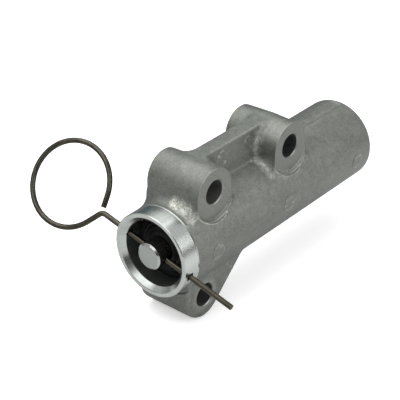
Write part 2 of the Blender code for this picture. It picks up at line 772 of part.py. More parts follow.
def check_ball():
    mesh = bpy.data.meshes.new("check_ball")
    bm = bmesh.new()
    bmesh.ops.create_uvsphere(bm, u_segments=16, v_segments=10, radius=BALL_RADIUS)
    bm.to_mesh(mesh)
    bm.free()
    mesh.shade_smooth()
    item = bpy.data.objects.new("check_ball", mesh)
    return place(item, PARTS, HARD, bore_axis(BALL_Y))


def valve_cage():
    """Pressed cup over the ball, with a flange, an end hole and side windows."""
    outer = CAGE_BORE + CAGE_WALL
    flange = POCKET_RADIUS - GAP
    hole = SEAT_HOLE_RADIUS / 2
    profile = [
        (outer, CAGE_END),
        (outer, CAGE_Y + CAGE_WALL),
        (flange, CAGE_Y + CAGE_WALL),
        (flange, CAGE_Y),
        (CAGE_BORE, CAGE_Y),
        (CAGE_BORE, CAGE_INNER_END),
        (hole, CAGE_INNER_END),
        (hole, CAGE_END),
    ]
    item = turned("valve_cage", profile, PARTS, STEEL, steps=24)
    middle = (CAGE_Y + CAGE_WALL + CAGE_INNER_END) / 2
    length = (CAGE_INNER_END - CAGE_Y) / 2
    for i in range(CAGE_WINDOWS):
        turn = 2 * math.pi * i / CAGE_WINDOWS
        outline = [(0, -length / 2), (2 * outer, -length / 2), (2 * outer, length / 2),
                   (0, length / 2)]
        window = prism("cage_window_%d" % i, outline, BALL_RADIUS / 2, BALL_RADIUS / 2)
        direction = (math.cos(turn), 0, math.sin(turn))
        window.matrix_world = frame_matrix((0, middle, 0), direction, (0, 1, 0))
        cut(item, window)
    return item


def pressure_sleeve():
    outer = RESERVOIR_RADIUS - GAP
    floor = SLEEVE_END - SLEEVE_FLOOR
    lead = SLEEVE_WALL / 3
    profile = [
        (0, SLEEVE_END),
        (outer, SLEEVE_END),
        (outer, SLEEVE_Y + lead),
        (outer - lead, SLEEVE_Y),
        (SLEEVE_BORE, SLEEVE_Y),
        (SLEEVE_BORE, floor),
        (0, floor),
    ]
    return turned("pressure_sleeve", profile, PARTS, HARD, steps=SMALL_STEPS)


def coil(name, start, end, radius, wire, coils, points_per_turn, material, sides):
    """Coil spring along the bore, with a closed turn at each end."""
    low = start + wire
    high = end - wire
    closed = 2 * wire + GAP
    count = coils * points_per_turn
    points = []
    for i in range(count + 1):
        turn = i / points_per_turn
        share = min(max((turn - 1) / (coils - 2), 0), 1)
        height = low + closed * min(turn, 1)
        height += (high - low - 2 * closed) * share
        height += closed * max(turn - coils + 1, 0)
        angle = 2 * math.pi * turn
        points.append((radius * math.cos(angle), radius * math.sin(angle), height))
    return tube(name, points, wire, PARTS, material, bore_axis(), sides)


def build():
    housing()
    locking_pin()
    plunger_rod()
    dust_boot()
    boot_insert_ring()
    seal_snap_ring()
    rod_seal()
    garter_spring()
    seal_washer()
    rod_guide()
    guide_o_ring()
    wear_ring()
    wear_ring_clip()
    piston()
    valve_seat()
    check_ball()
    valve_cage()
    pressure_sleeve()
    coil("main_spring", SPRING_Y, SPRING_END, SPRING_RADIUS, SPRING_WIRE, SPRING_COILS,
         SPRING_POINTS, WIRE, 2)
    ball_spring_y = BALL_Y + BALL_RADIUS + GAP
    coil("ball_spring", ball_spring_y, ball_spring_y + BALL_SPRING_LENGTH,
         CAGE_BORE / 2, BALL_SPRING_WIRE, 4, 10, WIRE, 0)


PARTS, CUTTERS = start_scene()
CAST = make_material("cast_aluminium", (0.47, 0.48, 0.46), 0.45, 0.9)
WIRE = make_material("spring_wire", (0.16, 0.15, 0.13), 0.38, 0.9)
ROD = make_material("ground_rod", (0.62, 0.63, 0.62), 0.3, 1.0)
STEEL = make_material("pressed_steel", (0.5, 0.5, 0.51), 0.4, 1.0)
HARD = make_material("hardened_steel", (0.55, 0.56, 0.57), 0.25, 1.0)
BRONZE = make_material("sintered_bronze", (0.55, 0.42, 0.25), 0.5, 0.9)
PLASTIC = make_material("wear_plastic", (0.72, 0.68, 0.58), 0.5, 0.0)
RUBBER = make_material("black_rubber", (0.02, 0.02, 0.02), 0.65, 0.0)
build()
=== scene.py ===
import math
import bmesh
import bpy
from mathutils import Matrix, Vector


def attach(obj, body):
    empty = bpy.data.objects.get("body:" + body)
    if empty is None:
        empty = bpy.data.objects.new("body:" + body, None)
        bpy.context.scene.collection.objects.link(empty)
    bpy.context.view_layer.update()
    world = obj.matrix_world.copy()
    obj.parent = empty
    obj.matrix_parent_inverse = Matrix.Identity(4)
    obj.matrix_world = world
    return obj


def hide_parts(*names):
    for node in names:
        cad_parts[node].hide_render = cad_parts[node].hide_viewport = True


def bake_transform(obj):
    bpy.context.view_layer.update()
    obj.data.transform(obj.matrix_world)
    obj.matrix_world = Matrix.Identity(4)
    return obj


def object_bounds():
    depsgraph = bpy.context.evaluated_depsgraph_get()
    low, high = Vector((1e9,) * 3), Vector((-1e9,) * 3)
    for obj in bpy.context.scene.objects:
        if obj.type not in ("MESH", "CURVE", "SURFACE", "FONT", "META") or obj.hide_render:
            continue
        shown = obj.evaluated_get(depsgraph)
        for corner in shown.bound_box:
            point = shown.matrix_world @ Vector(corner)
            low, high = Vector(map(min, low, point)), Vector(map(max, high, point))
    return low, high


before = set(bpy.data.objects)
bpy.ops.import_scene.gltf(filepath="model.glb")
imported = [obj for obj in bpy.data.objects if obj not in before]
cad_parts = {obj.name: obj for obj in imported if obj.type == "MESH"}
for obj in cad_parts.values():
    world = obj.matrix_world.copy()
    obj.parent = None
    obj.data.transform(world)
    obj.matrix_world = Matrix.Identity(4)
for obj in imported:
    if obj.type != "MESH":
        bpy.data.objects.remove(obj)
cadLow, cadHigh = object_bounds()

mm = 0.001


def clearSelection():
    if bpy.context.object and bpy.context.object.mode != "OBJECT":
        bpy.ops.object.mode_set(mode="OBJECT")
    bpy.ops.object.select_all(action="DESELECT")


def makeActive(piece):
    clearSelection()
    piece.select_set(True)
    bpy.context.view_layer.objects.active = piece


def editMode(piece, kind="VERT"):
    makeActive(piece)
    bpy.ops.object.mode_set(mode="EDIT")
    bpy.ops.mesh.select_mode(type=kind)
    bpy.ops.mesh.select_all(action="DESELECT")


def objectMode():
    bpy.ops.object.mode_set(mode="OBJECT")


def pick(piece, test, kind="VERT"):
    # selects in edit mode by place or normal
    bm = bmesh.from_edit_mesh(piece.data)
    for part in {"VERT": bm.verts, "EDGE": bm.edges, "FACE": bm.faces}[kind]:
        part.select_set(bool(test(part)))
    bm.select_flush(True)
    bmesh.update_edit_mesh(piece.data)


def named(name):
    piece = bpy.context.object
    piece.name = name
    piece.data.name = name
    return piece


def settle(piece):
    # place and turn go into the mesh, so the object sits at the origin
    makeActive(piece)
    bpy.ops.object.transform_apply(location=True, rotation=True, scale=True)


def outward(piece):
    editMode(piece)
    bpy.ops.mesh.select_all(action="SELECT")
    bpy.ops.mesh.remove_doubles(threshold=0.000002)
    bpy.ops.mesh.normals_make_consistent(inside=False)
    objectMode()


def joinAll(first, others):
    makeActive(first)
    for other in others:
        other.select_set(True)
    bpy.ops.object.join()
    return first


def carve(piece, cutter, operation="DIFFERENCE"):
    makeActive(piece)
    boolean = piece.modifiers.new(cutter.name, "BOOLEAN")
    boolean.operation = operation
    boolean.solver = "EXACT"
    boolean.object = cutter
    bpy.ops.object.modifier_apply(modifier=boolean.name)
    bpy.data.objects.remove(cutter, do_unlink=True)


def startPoint(name, place):
    # a plane merged to one vertex, ready to extrude
    clearSelection()
    bpy.ops.mesh.primitive_plane_add(size=mm, location=place)
    piece = named(name)
    settle(piece)
    editMode(piece)
    bpy.ops.mesh.select_all(action="SELECT")
    bpy.ops.mesh.merge(type="CENTER")
    return piece


def extrudeAlong(points):
    for last, point in zip(points, points[1:]):
        step = Vector(point) - Vector(last)
        bpy.ops.mesh.extrude_vertices_move(TRANSFORM_OT_translate={"value": step})


def pulledShape(name, points, step):
    # an outline filled and pulled out by one step
    piece = startPoint(name, points[0])
    extrudeAlong(points)
    bpy.ops.mesh.select_all(action="SELECT")
    bpy.ops.mesh.edge_face_add()
    bpy.ops.mesh.extrude_region_move(TRANSFORM_OT_translate={"value": step})
    outward(piece)
    return piece


def slab(name, outline, near, far):
    # a (y, z) outline pulled out along X, from -far to near
    return pulledShape(name, [(-far, y, z) for y, z in outline], (near + far, 0, 0))


def turnPiece(name, profile, steps=96):
    # a (radius, y) profile spun once round the bore's axis
    points = [(radius, y, 0) for radius, y in profile]
    if profile[0][0] > 0:
        points.append(points[0])
    piece = startPoint(name, points[0])
    extrudeAlong(points)
    bpy.ops.mesh.select_all(action="SELECT")
    bpy.ops.mesh.remove_doubles(threshold=0.000002)
    bpy.ops.mesh.spin(steps=steps, angle=2 * math.pi, center=(0, 0, 0), axis=(0, 1, 0))
    outward(piece)
    return piece


def barrel(name, radius, low, high, sides=144):
    # a cylinder along the bore's axis, left in edit mode
    clearSelection()
    bpy.ops.mesh.primitive_cylinder_add(
        vertices=sides, radius=radius, depth=high - low, location=(0, (low + high) / 2, 0),
        rotation=(math.pi / 2, 0, 0))
    piece = named(name)
    settle(piece)
    editMode(piece, "EDGE")
    return piece


def turnOnto(piece, origin, axis):
    # moves a turned piece from the bore's axis to another one
    turn = Vector((0, 1, 0)).rotation_difference(Vector(axis))
    piece.matrix_world = Matrix.Translation(origin) @ turn.to_matrix().to_4x4()
    settle(piece)
    return piece


def acrossPiece(name, profile, y, z, steps=96):
    # a turned piece that lies along X
    return turnOnto(turnPiece(name, profile, steps), (0, y, z), (1, 0, 0))


def sliceOff(piece, place, normal):
    # cuts away what lies on the normal's side and closes the cut
    editMode(piece)
    bpy.ops.mesh.select_all(action="SELECT")
    bpy.ops.mesh.bisect(plane_co=place, plane_no=normal, use_fill=True, clear_outer=True)
    objectMode()


def arcPoints(middle, radius, start, end, count):
    turns = [start + (end - start) * i / (count - 1) for i in range(count)]
    return [(middle[0] + radius * math.cos(a), middle[1] + radius * math.sin(a))
            for a in turns]


camera = {"place": (267.93 * mm, -294.14 * mm, 261.15 * mm), "tilt": 59.03225734,
          "turn": 39.789237, "lens": 126.0}


def setCamera():
    data = bpy.data.cameras.new("photoCamera")
    data.lens = camera["lens"]
    data.sensor_width = 36
    data.clip_start = 0.01
    item = bpy.data.objects.new("photoCamera", data)
    item.location = camera["place"]
    item.rotation_euler = (math.radians(camera["tilt"]), 0, math.radians(camera["turn"]))
    bpy.context.scene.collection.objects.link(item)
    bpy.context.scene.camera = item


setCamera()
print("camera set")


# Shader node helpers. Positions only keep the editor readable.
def addNode(tree, kind, x, y, **settings):
    node = tree.nodes.new(kind)
    node.location = (x, y)
    for key, value in settings.items():
        setattr(node, key, value)
    return node


def wire(tree, source, target):
    tree.links.new(source, target)


def feed(tree, socket, value):
    # a number, a colour or another node's output
    if isinstance(value, (int, float)):
        socket.default_value = value
    elif isinstance(value, tuple):
        socket.default_value = (*value, 1)
    else:
        wire(tree, value, socket)


def rampNode(tree, x, y, value, stops):
    node = addNode(tree, "ShaderNodeValToRGB", x, y)
    wire(tree, value, node.inputs[0])
    elements = node.color_ramp.elements
    while len(elements) < len(stops):
        elements.new(0.5)
    for element, (position, shade) in zip(elements, stops):
        element.position = position
        element.color = (shade, shade, shade, 1)
    return node.outputs[0]


def rangeNode(tree, x, y, value, start, end, low=0.0, high=1.0, kind="SMOOTHSTEP"):
    node = addNode(tree, "ShaderNodeMapRange", x, y, interpolation_type=kind)
    wire(tree, value, node.inputs["Value"])
    for label, number in zip(("From Min", "From Max", "To Min", "To Max"), (start, end, low, high)):
        feed(tree, node.inputs[label], number)
    return node.outputs[0]


def partsOf(tree, x, y, vector):
    node = addNode(tree, "ShaderNodeSeparateXYZ", x, y)
    wire(tree, vector, node.inputs[0])
    return node.outputs


def objectPlace(tree, x, y):
    return addNode(tree, "ShaderNodeTexCoord", x, y).outputs["Object"]


def noiseNode(tree, x, y, vector, scale, detail=4.0, roughness=0.5, distortion=0.0):
    node = addNode(tree, "ShaderNodeTexNoise", x, y)
    wire(tree, vector, node.inputs["Vector"])
    settings = {"Scale": scale, "Detail": detail, "Roughness": roughness, "Distortion": distortion}
    for label, number in settings.items():
        node.inputs[label].default_value = number
    return node.outputs["Fac"]


def mathNode(tree, x, y, operation, first, second):
    node = addNode(tree, "ShaderNodeMath", x, y, operation=operation)
    for socket, value in zip(node.inputs, (first, second)):
        feed(tree, socket, value)
    return node.outputs[0]


def vectorMath(tree, x, y, operation, first, second=None):
    node = addNode(tree, "ShaderNodeVectorMath", x, y, operation=operation)
    wire(tree, first, node.inputs[0])
    if second:
        node.inputs[1].default_value = second
    return node


def mixColour(tree, x, y, share, first, second, blend="MIX"):
    node = addNode(tree, "ShaderNodeMix", x, y, data_type="RGBA", blend_type=blend)
    for socket, value in ((node.inputs[0], share), (node.inputs[6], first), (node.inputs[7], second)):
        feed(tree, socket, value)
    return node.outputs[2]


def newGroup(name, inputs, outputs):
    group = bpy.data.node_groups.new(name, "ShaderNodeTree")
    for label, value in inputs:
        kind = "NodeSocketColor" if isinstance(value, tuple) else "NodeSocketFloat"
        socket = group.interface.new_socket(label, in_out="INPUT", socket_type=kind)
        socket.default_value = (*value, 1) if isinstance(value, tuple) else value
    for label in outputs:
        kind = "NodeSocketColor" if label == "Color" else "NodeSocketFloat"
        group.interface.new_socket(label, in_out="OUTPUT", socket_type=kind)
    first = addNode(group, "NodeGroupInput", -1200, 0)
    last = addNode(group, "NodeGroupOutput", 800, 0)
    return group, first, last


def placeGroup(tree, group, x, y, **values):
    node = addNode(tree, "ShaderNodeGroup", x, y, node_tree=group)
    for label, value in values.items():
        feed(tree, node.inputs[label.replace("_", " ")], value)
    return node


def spreadRough(group, first, last, x, noise):
    low, high = first.outputs["Rough Low"], first.outputs["Rough High"]
    rough = rangeNode(group, x, 0, noise, 0.3, 0.7, low, high, "LINEAR")
    wire(group, rough, last.inputs["Roughness"])


def newMaterial(name, metallic, roughness, colour):
    material = bpy.data.materials.new(name)
    material.use_nodes = True
    shader = material.node_tree.nodes["Principled BSDF"]
    shader.inputs["Metallic"].default_value = metallic
    shader.inputs["Roughness"].default_value = roughness
    shader.inputs["Base Color"].default_value = (*colour, 1)
    material.diffuse_color = (*colour, 1)
    return material, material.node_tree, shader


# Cast skin: fine pits, soft clouds and rubbed edges. Scales are waves in a metre; the lists are
# (noise, tone) stops.
castSkin = {
    "blotchScale": 160, "cloudScale": 520, "grainScale": 2600, "pitScale": 1500, "pitDepth": 0.4,
    "stretch": (1.0, 0.45, 1.0), "pits": [(0.05, 0.0), (0.3, 1.0)], "blotches": [(0.3, 0.0), (0.7, 1.0)],
    "specks": [(0.34, 0.86), (0.66, 1.12)], "grain": [(0.3, 0.7), (0.7, 1.26)],
    "edges": [(0.512, 0.0), (0.56, 1.0)],
}


def makeGrainGroup():
    group, first, last = newGroup(
        "castGrain",
        [("Light", (0.3, 0.3, 0.3)), ("Dark", (0.1, 0.1, 0.1)), ("Rubbed", (0.6, 0.6, 0.6)),
         ("Rough Low", 0.4), ("Rough High", 0.6), ("Wear", 0.5)],
        ("Color", "Roughness", "Height"))
    k = castSkin
    place = objectPlace(group, -1200, -300)
    stretch = addNode(group, "ShaderNodeMapping", -1050, 200)
    wire(group, place, stretch.inputs["Vector"])
    stretch.inputs["Scale"].default_value = k["stretch"]
    blotch = noiseNode(group, -850, 300, stretch.outputs[0], k["blotchScale"], 5, 0.6, 0.3)
    cloud = noiseNode(group, -850, 100, place, k["cloudScale"], 4, 0.6)
    grain = noiseNode(group, -850, -100, place, k["grainScale"], 3, 0.65)
    pits = addNode(group, "ShaderNodeTexVoronoi", -850, -350, feature="F1")
    wire(group, place, pits.inputs["Vector"])
    pits.inputs["Scale"].default_value = k["pitScale"]
    pitMask = rampNode(group, -650, -350, pits.outputs["Distance"], k["pits"])
    broad = rampNode(group, -650, 300, blotch, k["blotches"])
    tone = mixColour(group, -300, 300, broad, first.outputs["Dark"], first.outputs["Light"])
    speck = rampNode(group, -650, 50, cloud, k["specks"])
    tone = mixColour(group, -100, 250, 1.0, tone, speck, "MULTIPLY")
    fine = rampNode(group, -650, -120, grain, k["grain"])
    tone = mixColour(group, 100, 200, 1.0, tone, fine, "MULTIPLY")
    corners = addNode(group, "ShaderNodeNewGeometry", -600, -550).outputs["Pointiness"]
    edge = rampNode(group, -300, -500, corners, k["edges"])
    rubbed = mathNode(group, 0, -450, "MULTIPLY", edge, first.outputs["Wear"])
    rubbed = mathNode(group, 200, -450, "MULTIPLY", rubbed, cloud)
    tone = mixColour(group, 400, 200, rubbed, tone, first.outputs["Rubbed"])
    wire(group, tone, last.inputs["Color"])
    spreadRough(group, first, last, 200, cloud)
    height = mathNode(group, 0, -150, "MULTIPLY", pitMask, k["pitDepth"])
    height = mathNode(group, 150, -150, "ADD", height, grain)
    height = mathNode(group, 300, -150, "ADD", height, cloud)
    wire(group, height, last.inputs["Height"])
    return group


# Crusty bright skin on the near half. Where balls sit behind the collar and along the rear boss's
# fillet and foot, the brightness is painted highlight. Each ball is a middle and a reach in millimetres,
# and a strength, which is full inside its core.
crustAndHighlight = {
    "tone": (0.68, 0.69, 0.62), "shine": -0.14, "relief": 3.5, "start": 0.8 * mm, "end": 1.6 * mm,
    "ragged": 3 * mm, "gritScale": 1500, "lumpScale": 420, "core": 0.45,
    # the four balls behind the collar and the six along the rear boss's fillet and foot are painted
    # highlights
    "balls": [
        ((6.0, 18.0, 27.0), 13.0, 0.05), ((2.5, 11.8, 17.0), 3.4, 0.9), ((5.0, 11.6, 16.6), 3.6, 1.0),
        ((7.4, 11.8, 15.6), 3.6, 1.0), ((9.6, 11.6, 14.2), 3.2, 0.9), ((8.0, 60.0, 27.0), 8.0, 0.14),
        ((8.0, 56.0, 14.0), 5.0, 0.35), ((11.0, 61.0, 12.0), 6.0, 0.25),
        ((3.6, 55.8, 26.5), 2.8, 0.45), ((3.6, 55.2, 23.0), 2.8, 0.45),
        ((3.6, 55.0, 19.5), 2.8, 0.45), ((5.0, 54.2, 15.8), 2.6, 0.45),
        ((8.0, 54.2, 14.2), 2.6, 0.4), ((10.6, 54.6, 12.2), 2.4, 0.35)],
}


def makeCrustAndHighlightGroup():
    group, _, last = newGroup("dieCrust", [], ("Mask", "Height"))
    place = objectPlace(group, -1200, -300)
    total = None
    for row, (middle, reach, strength) in enumerate(crustAndHighlight["balls"]):
        away = vectorMath(group, -900, -200 * row, "DISTANCE", place, [v * mm for v in middle])
        ball = rangeNode(group, -700, -200 * row, away.outputs["Value"], reach * mm,
                         reach * crustAndHighlight["core"] * mm, 0.0, strength)
        total = ball if total is None else mathNode(group, -500, -200 * row, "MAXIMUM", total, ball)
    grit = noiseNode(group, -500, 200, place, crustAndHighlight["gritScale"], 5, 0.75)
    lumps = noiseNode(group, -500, 400, place, crustAndHighlight["lumpScale"], 3, 0.6)
    spark = rampNode(group, -300, 200, grit, [(0.36, 0.0), (0.64, 1.0)])
    patches = rampNode(group, -300, 400, lumps, [(0.36, 0.35), (0.6, 1.0)])
    ragged = mathNode(group, -600, 700, "MULTIPLY", lumps, crustAndHighlight["ragged"])
    across = mathNode(group, -450, 600, "ADD", partsOf(group, -900, 600, place)["X"], ragged)
    half = rangeNode(group, -300, 600, across, crustAndHighlight["start"], crustAndHighlight["end"], kind="LINEAR")
    mask = mathNode(group, 0, 0, "MULTIPLY", total, patches)
    mask = mathNode(group, 100, 0, "MULTIPLY", mask, half)
    wire(group, mathNode(group, 300, 0, "MULTIPLY", mask, spark), last.inputs["Mask"])
    wire(group, mathNode(group, 300, -200, "MULTIPLY", mask, grit), last.inputs["Height"])
    return group


# Tool marks, fine lines that run round the last of the three axes, and lighter and darker sectors round
# that axis, which are painted reflection streaks.
toolMarksAndSheen = {"sheenScale": 2.6, "sheenStreaks": [(0.3, 0.0), (0.7, 1.0)],
             "lines": [(0.35, 0.93), (0.65, 1.05)]}


def makeTurningGroup(name, axes):
    group, first, last = newGroup(
        name,
        [("Light", (0.6, 0.6, 0.6)), ("Dark", (0.4, 0.4, 0.4)), ("Rough Low", 0.2),
         ("Rough High", 0.35), ("Pitch", 2500.0)],
        ("Color", "Roughness", "Height"))
    parts = partsOf(group, -1000, -300, objectPlace(group, -1200, -300))
    one, two, along = (parts[axis] for axis in axes)
    radius = mathNode(group, -500, -200, "SQRT", mathNode(
        group, -600, -200, "ADD", mathNode(group, -700, -100, "MULTIPLY", one, one),
        mathNode(group, -700, -250, "MULTIPLY", two, two)), 0.0)
    rings = addNode(group, "ShaderNodeCombineXYZ", -350, -200)
    wire(group, radius, rings.inputs[0])
    wire(group, along, rings.inputs[1])
    fineScale = vectorMath(group, -200, -200, "SCALE", rings.outputs[0])
    wire(group, first.outputs["Pitch"], fineScale.inputs["Scale"])
    grooves = noiseNode(group, 0, -200, fineScale.outputs[0], 1.0, 3, 0.6)
    flat = addNode(group, "ShaderNodeCombineXYZ", -350, 100)
    wire(group, one, flat.inputs[0])
    wire(group, two, flat.inputs[1])
    sector = vectorMath(group, -200, 100, "NORMALIZE", flat.outputs[0])
    # tones by sector round the axis: painted reflection streaks
    sheenStreak = noiseNode(group, 0, 100, sector.outputs[0], toolMarksAndSheen["sheenScale"], 5, 0.62)
    broad = rampNode(group, 200, 100, sheenStreak, toolMarksAndSheen["sheenStreaks"])
    tone = mixColour(group, 350, 200, broad, first.outputs["Dark"], first.outputs["Light"])
    line = rampNode(group, 200, -100, grooves, toolMarksAndSheen["lines"])
    tone = mixColour(group, 500, 200, 1.0, tone, line, "MULTIPLY")
    wire(group, tone, last.inputs["Color"])
    spreadRough(group, first, last, 400, sheenStreak)
    wire(group, grooves, last.inputs["Height"])
    return group


castGrain = makeGrainGroup()
turnedMarks = makeTurningGroup("turnedMarks", "XZY")
drilledMarks = makeTurningGroup("drilledMarks", "YZX")
dieCrust = makeCrustAndHighlightGroup()


def addBump(tree, shader, height, distance, strength):
    bump = addNode(tree, "ShaderNodeBump", -50, -300)
    bump.inputs["Distance"].default_value = distance
    bump.inputs["Strength"].default_value = strength
    wire(tree, height, bump.inputs["Height"])
    wire(tree, bump.outputs[0], shader.inputs["Normal"])


def surfaceFrom(name, group, metallic, bump, **values):
    # bump is (distance, strength)
    material, tree, shader = newMaterial(name, metallic, 0.5, values["Light"])
    node = placeGroup(tree, group, -300, 0, **values)
    wire(tree, node.outputs["Color"], shader.inputs["Base Color"])
    wire(tree, node.outputs["Roughness"], shader.inputs["Roughness"])
    addBump(tree, shader, node.outputs["Height"], *bump)
    return material


def castSurface(name, metallic, bump, **values):
    # cast skin with the crust and its painted highlights laid over it
    material, tree, shader = newMaterial(name, metallic, 0.5, values["Light"])
    grain = placeGroup(tree, castGrain, -900, 0, **values)
    patch = placeGroup(tree, dieCrust, -900, -400)
    tone = mixColour(tree, -400, 100, patch.outputs["Mask"], grain.outputs["Color"], crustAndHighlight["tone"])
    wire(tree, tone, shader.inputs["Base Color"])
    rough = mathNode(tree, -600, -100, "MULTIPLY", patch.outputs["Mask"], crustAndHighlight["shine"])
    wire(tree, mathNode(tree, -400, -100, "ADD", grain.outputs["Roughness"], rough),
         shader.inputs["Roughness"])
    height = mathNode(tree, -600, -400, "MULTIPLY", patch.outputs["Height"], crustAndHighlight["relief"])
    addBump(tree, shader, mathNode(tree, -400, -400, "ADD", grain.outputs["Height"], height), *bump)
    return material


# Looks of the casting, in the order of its material slots.
finishes = {
    "cast": {
        "metallic": 0.8, "bump": (0.0001, 0.5), "Light": (0.192, 0.203, 0.184),
        "Dark": (0.154, 0.164, 0.149), "Rubbed": (0.5, 0.5, 0.47), "Rough_Low": 0.46,
        "Rough_High": 0.6, "Wear": 0.7},
    "turned": {
        "group": turnedMarks, "metallic": 1.0, "bump": (0.00002, 0.1), "Light": (0.52, 0.545, 0.52),
        "Dark": (0.41, 0.435, 0.415), "Rough_Low": 0.2, "Rough_High": 0.27, "Pitch": 2600.0},
    # bore and pin hole: machined aluminium darkened far below the turned tone, as painted shade inside
    # them
    "bored": {
        "group": turnedMarks, "metallic": 0.35, "bump": (0.00003, 0.3), "Light": (0.08, 0.085, 0.08),
        "Dark": (0.04, 0.045, 0.042), "Rough_Low": 0.32, "Rough_High": 0.46, "Pitch": 2200.0},
    "faced": {
        "group": drilledMarks, "metallic": 0.8, "bump": (0.00003, 0.3), "Light": (0.19, 0.2, 0.182),
        "Dark": (0.15, 0.16, 0.146), "Rough_Low": 0.38, "Rough_High": 0.52, "Pitch": 1400.0},
    "drilled": {
        "group": drilledMarks, "metallic": 0.9, "bump": (0.00003, 0.3), "Light": (0.3, 0.3, 0.29),
        "Dark": (0.16, 0.16, 0.155), "Rough_Low": 0.3, "Rough_High": 0.5, "Pitch": 1500.0},
    # wall that the spot face cuts into the barrel: made lighter than the seat and the skin, a painted
    # highlight
    "freshlyCut": {
        "group": drilledMarks, "metallic": 0.7, "bump": (0.00003, 0.2), "Light": (0.38, 0.39, 0.37),
        "Dark": (0.22, 0.23, 0.21), "Rough_Low": 0.3, "Rough_High": 0.45, "Pitch": 1500.0},
    "seat": {
        "group": drilledMarks, "metallic": 0.8, "bump": (0.00003, 0.4), "Light": (0.195, 0.204, 0.186),
        "Dark": (0.158, 0.167, 0.152), "Rough_Low": 0.46, "Rough_High": 0.58, "Pitch": 1400.0},
}
castingMetals = {}
for name, look in finishes.items():
    make = surfaceFrom if "group" in look else castSurface
    castingMetals[name] = make(name + "Aluminium", **look)
print("casting finishes made")


casting = {
    "radius": 15.9 * mm, "end": 112.29 * mm, "endRounding": 1.8 * mm,
    "bossRadius": 9.24 * mm, "bossTip": 8.85 * mm, "bossZ": 19.6 * mm,
    "frontBoss": 22.2 * mm, "rearBoss": 64.8 * mm, "near": 11.0 * mm, "far": 11.8 * mm,
    "parting": -0.4 * mm, "ear": (17.1 * mm, -19.8 * mm), "earRadius": 9.14 * mm,
    "earSlope": math.radians(43), "earFillet": 6.0 * mm, "earEdge": 1.3 * mm,
    "webTop": 28.6 * mm, "webNear": 2.7 * mm, "webFar": 3.6 * mm, "webRoot": 1.3 * mm,
    "frontFillet": 3.0 * mm, "rearFillet": 1.8 * mm,
    "footFront": 4.0 * mm, "footRear": 2.6 * mm, "footBehind": 3.2 * mm, "footSteps": 120,
    "voxel": 0.5 * mm, "softening": 8,
    # what the tools take off, and how deep the parts reach into the barrel
    "stock": 0.7 * mm, "skim": 0.06 * mm, "bossDepth": 12 * mm, "footDepth": 3 * mm,
    "footBottom": 2 * mm, "webBottom": 8 * mm, "rootBottom": 12 * mm, "earTop": -4 * mm,
}


def castBarrel():
    c = casting
    piece = barrel("castHousing", c["radius"], machining["rim"] - c["stock"], c["end"])
    pick(piece, lambda e: all(v.co.y > c["end"] - mm / 10 for v in e.verts), "EDGE")
    bpy.ops.mesh.bevel(offset=c["endRounding"], segments=6, affect="EDGES")
    objectMode()
    return piece


def castBoss(name, y):
    # drafted towards both ends from the parting plane, with straight flanks below
    c = casting
    near, far = c["near"] + c["stock"], -c["far"] - c["stock"]
    profile = [(0, near), (c["bossTip"], near), (c["bossRadius"], c["parting"]),
               (c["bossTip"], far), (0, far)]
    piece = acrossPiece(name, profile, y, c["bossZ"])
    editMode(piece, "FACE")
    pick(piece, lambda f: f.normal.z < -0.02 and abs(f.normal.x) < 0.5, "FACE")
    bpy.ops.mesh.extrude_region_move(TRANSFORM_OT_translate={"value": (0, 0, -c["bossDepth"])})
    outward(piece)
    return piece


def castFoot(name, y, front, rear):
    # fillet round a boss's foot: turned, then trimmed to the boss's width
    c = casting
    r = c["radius"]
    inner = r - c["footDepth"]
    lowY, highY = y - c["bossRadius"], y + c["bossRadius"]
    profile = [(inner, highY + rear), (r, highY + rear)]
    profile += arcPoints((r + rear, highY + rear), rear, math.pi, 1.5 * math.pi, 8)[1:]
    profile += arcPoints((r + front, lowY - front), front, math.pi / 2, math.pi, 8)
    profile += [(inner, lowY - front)]
    piece = turnPiece(name, profile, c["footSteps"])
    sliceOff(piece, (0, 0, c["footBottom"]), (0, 0, -1))
    sliceOff(piece, (c["near"] + c["skim"], 0, 0), (1, 0, 0))
    sliceOff(piece, (-c["far"] - c["skim"], 0, 0), (-1, 0, 0))
    return piece


def castWeb():
    c = casting
    front, rear, low, high = c["frontBoss"], c["rearBoss"], c["webBottom"], c["webTop"]
    outline = [(front, low), (rear, low), (rear, high), (front, high)]
    return slab("castWeb", outline, c["webNear"], c["webFar"])


def webFillet(name, y, fillet, side):
    # fillet between a boss and both faces of the web, turned about the boss
    c = casting
    inner, middle = c["bossRadius"] - mm, c["bossRadius"] + fillet
    near, far = c["webNear"], -c["webFar"]
    profile = [(inner, near + fillet)]
    profile += arcPoints((middle, near + fillet), fillet, math.pi, 1.5 * math.pi, 8)
    profile += arcPoints((middle, far - fillet), fillet, math.pi / 2, math.pi, 8)
    profile += [(inner, far - fillet)]
    piece = acrossPiece(name, profile, y, c["bossZ"])
    sliceOff(piece, (0, y, 0), (0, -side, 0))
    sliceOff(piece, (0, 0, c["webTop"] - 0.2 * mm), (0, 0, 1))
    return piece


def webRoot(name, wall, side):
    # fillet between a face of the web and the barrel, pulled from boss to boss
    c = casting
    r, fillet = c["radius"], c["webRoot"]
    across = wall + fillet
    rise = math.sqrt((r + fillet) ** 2 - across ** 2)
    outline = [(wall - mm, rise)]
    outline += arcPoints((across, rise), fillet, math.pi, math.pi + math.atan2(rise, across), 8)
    outline += [(wall, c["rootBottom"]), (wall - mm, c["rootBottom"])]
    points = [(side * x, c["frontBoss"], z) for x, z in outline]
    return pulledShape(name, points, (0, c["rearBoss"] - c["frontBoss"], 0))


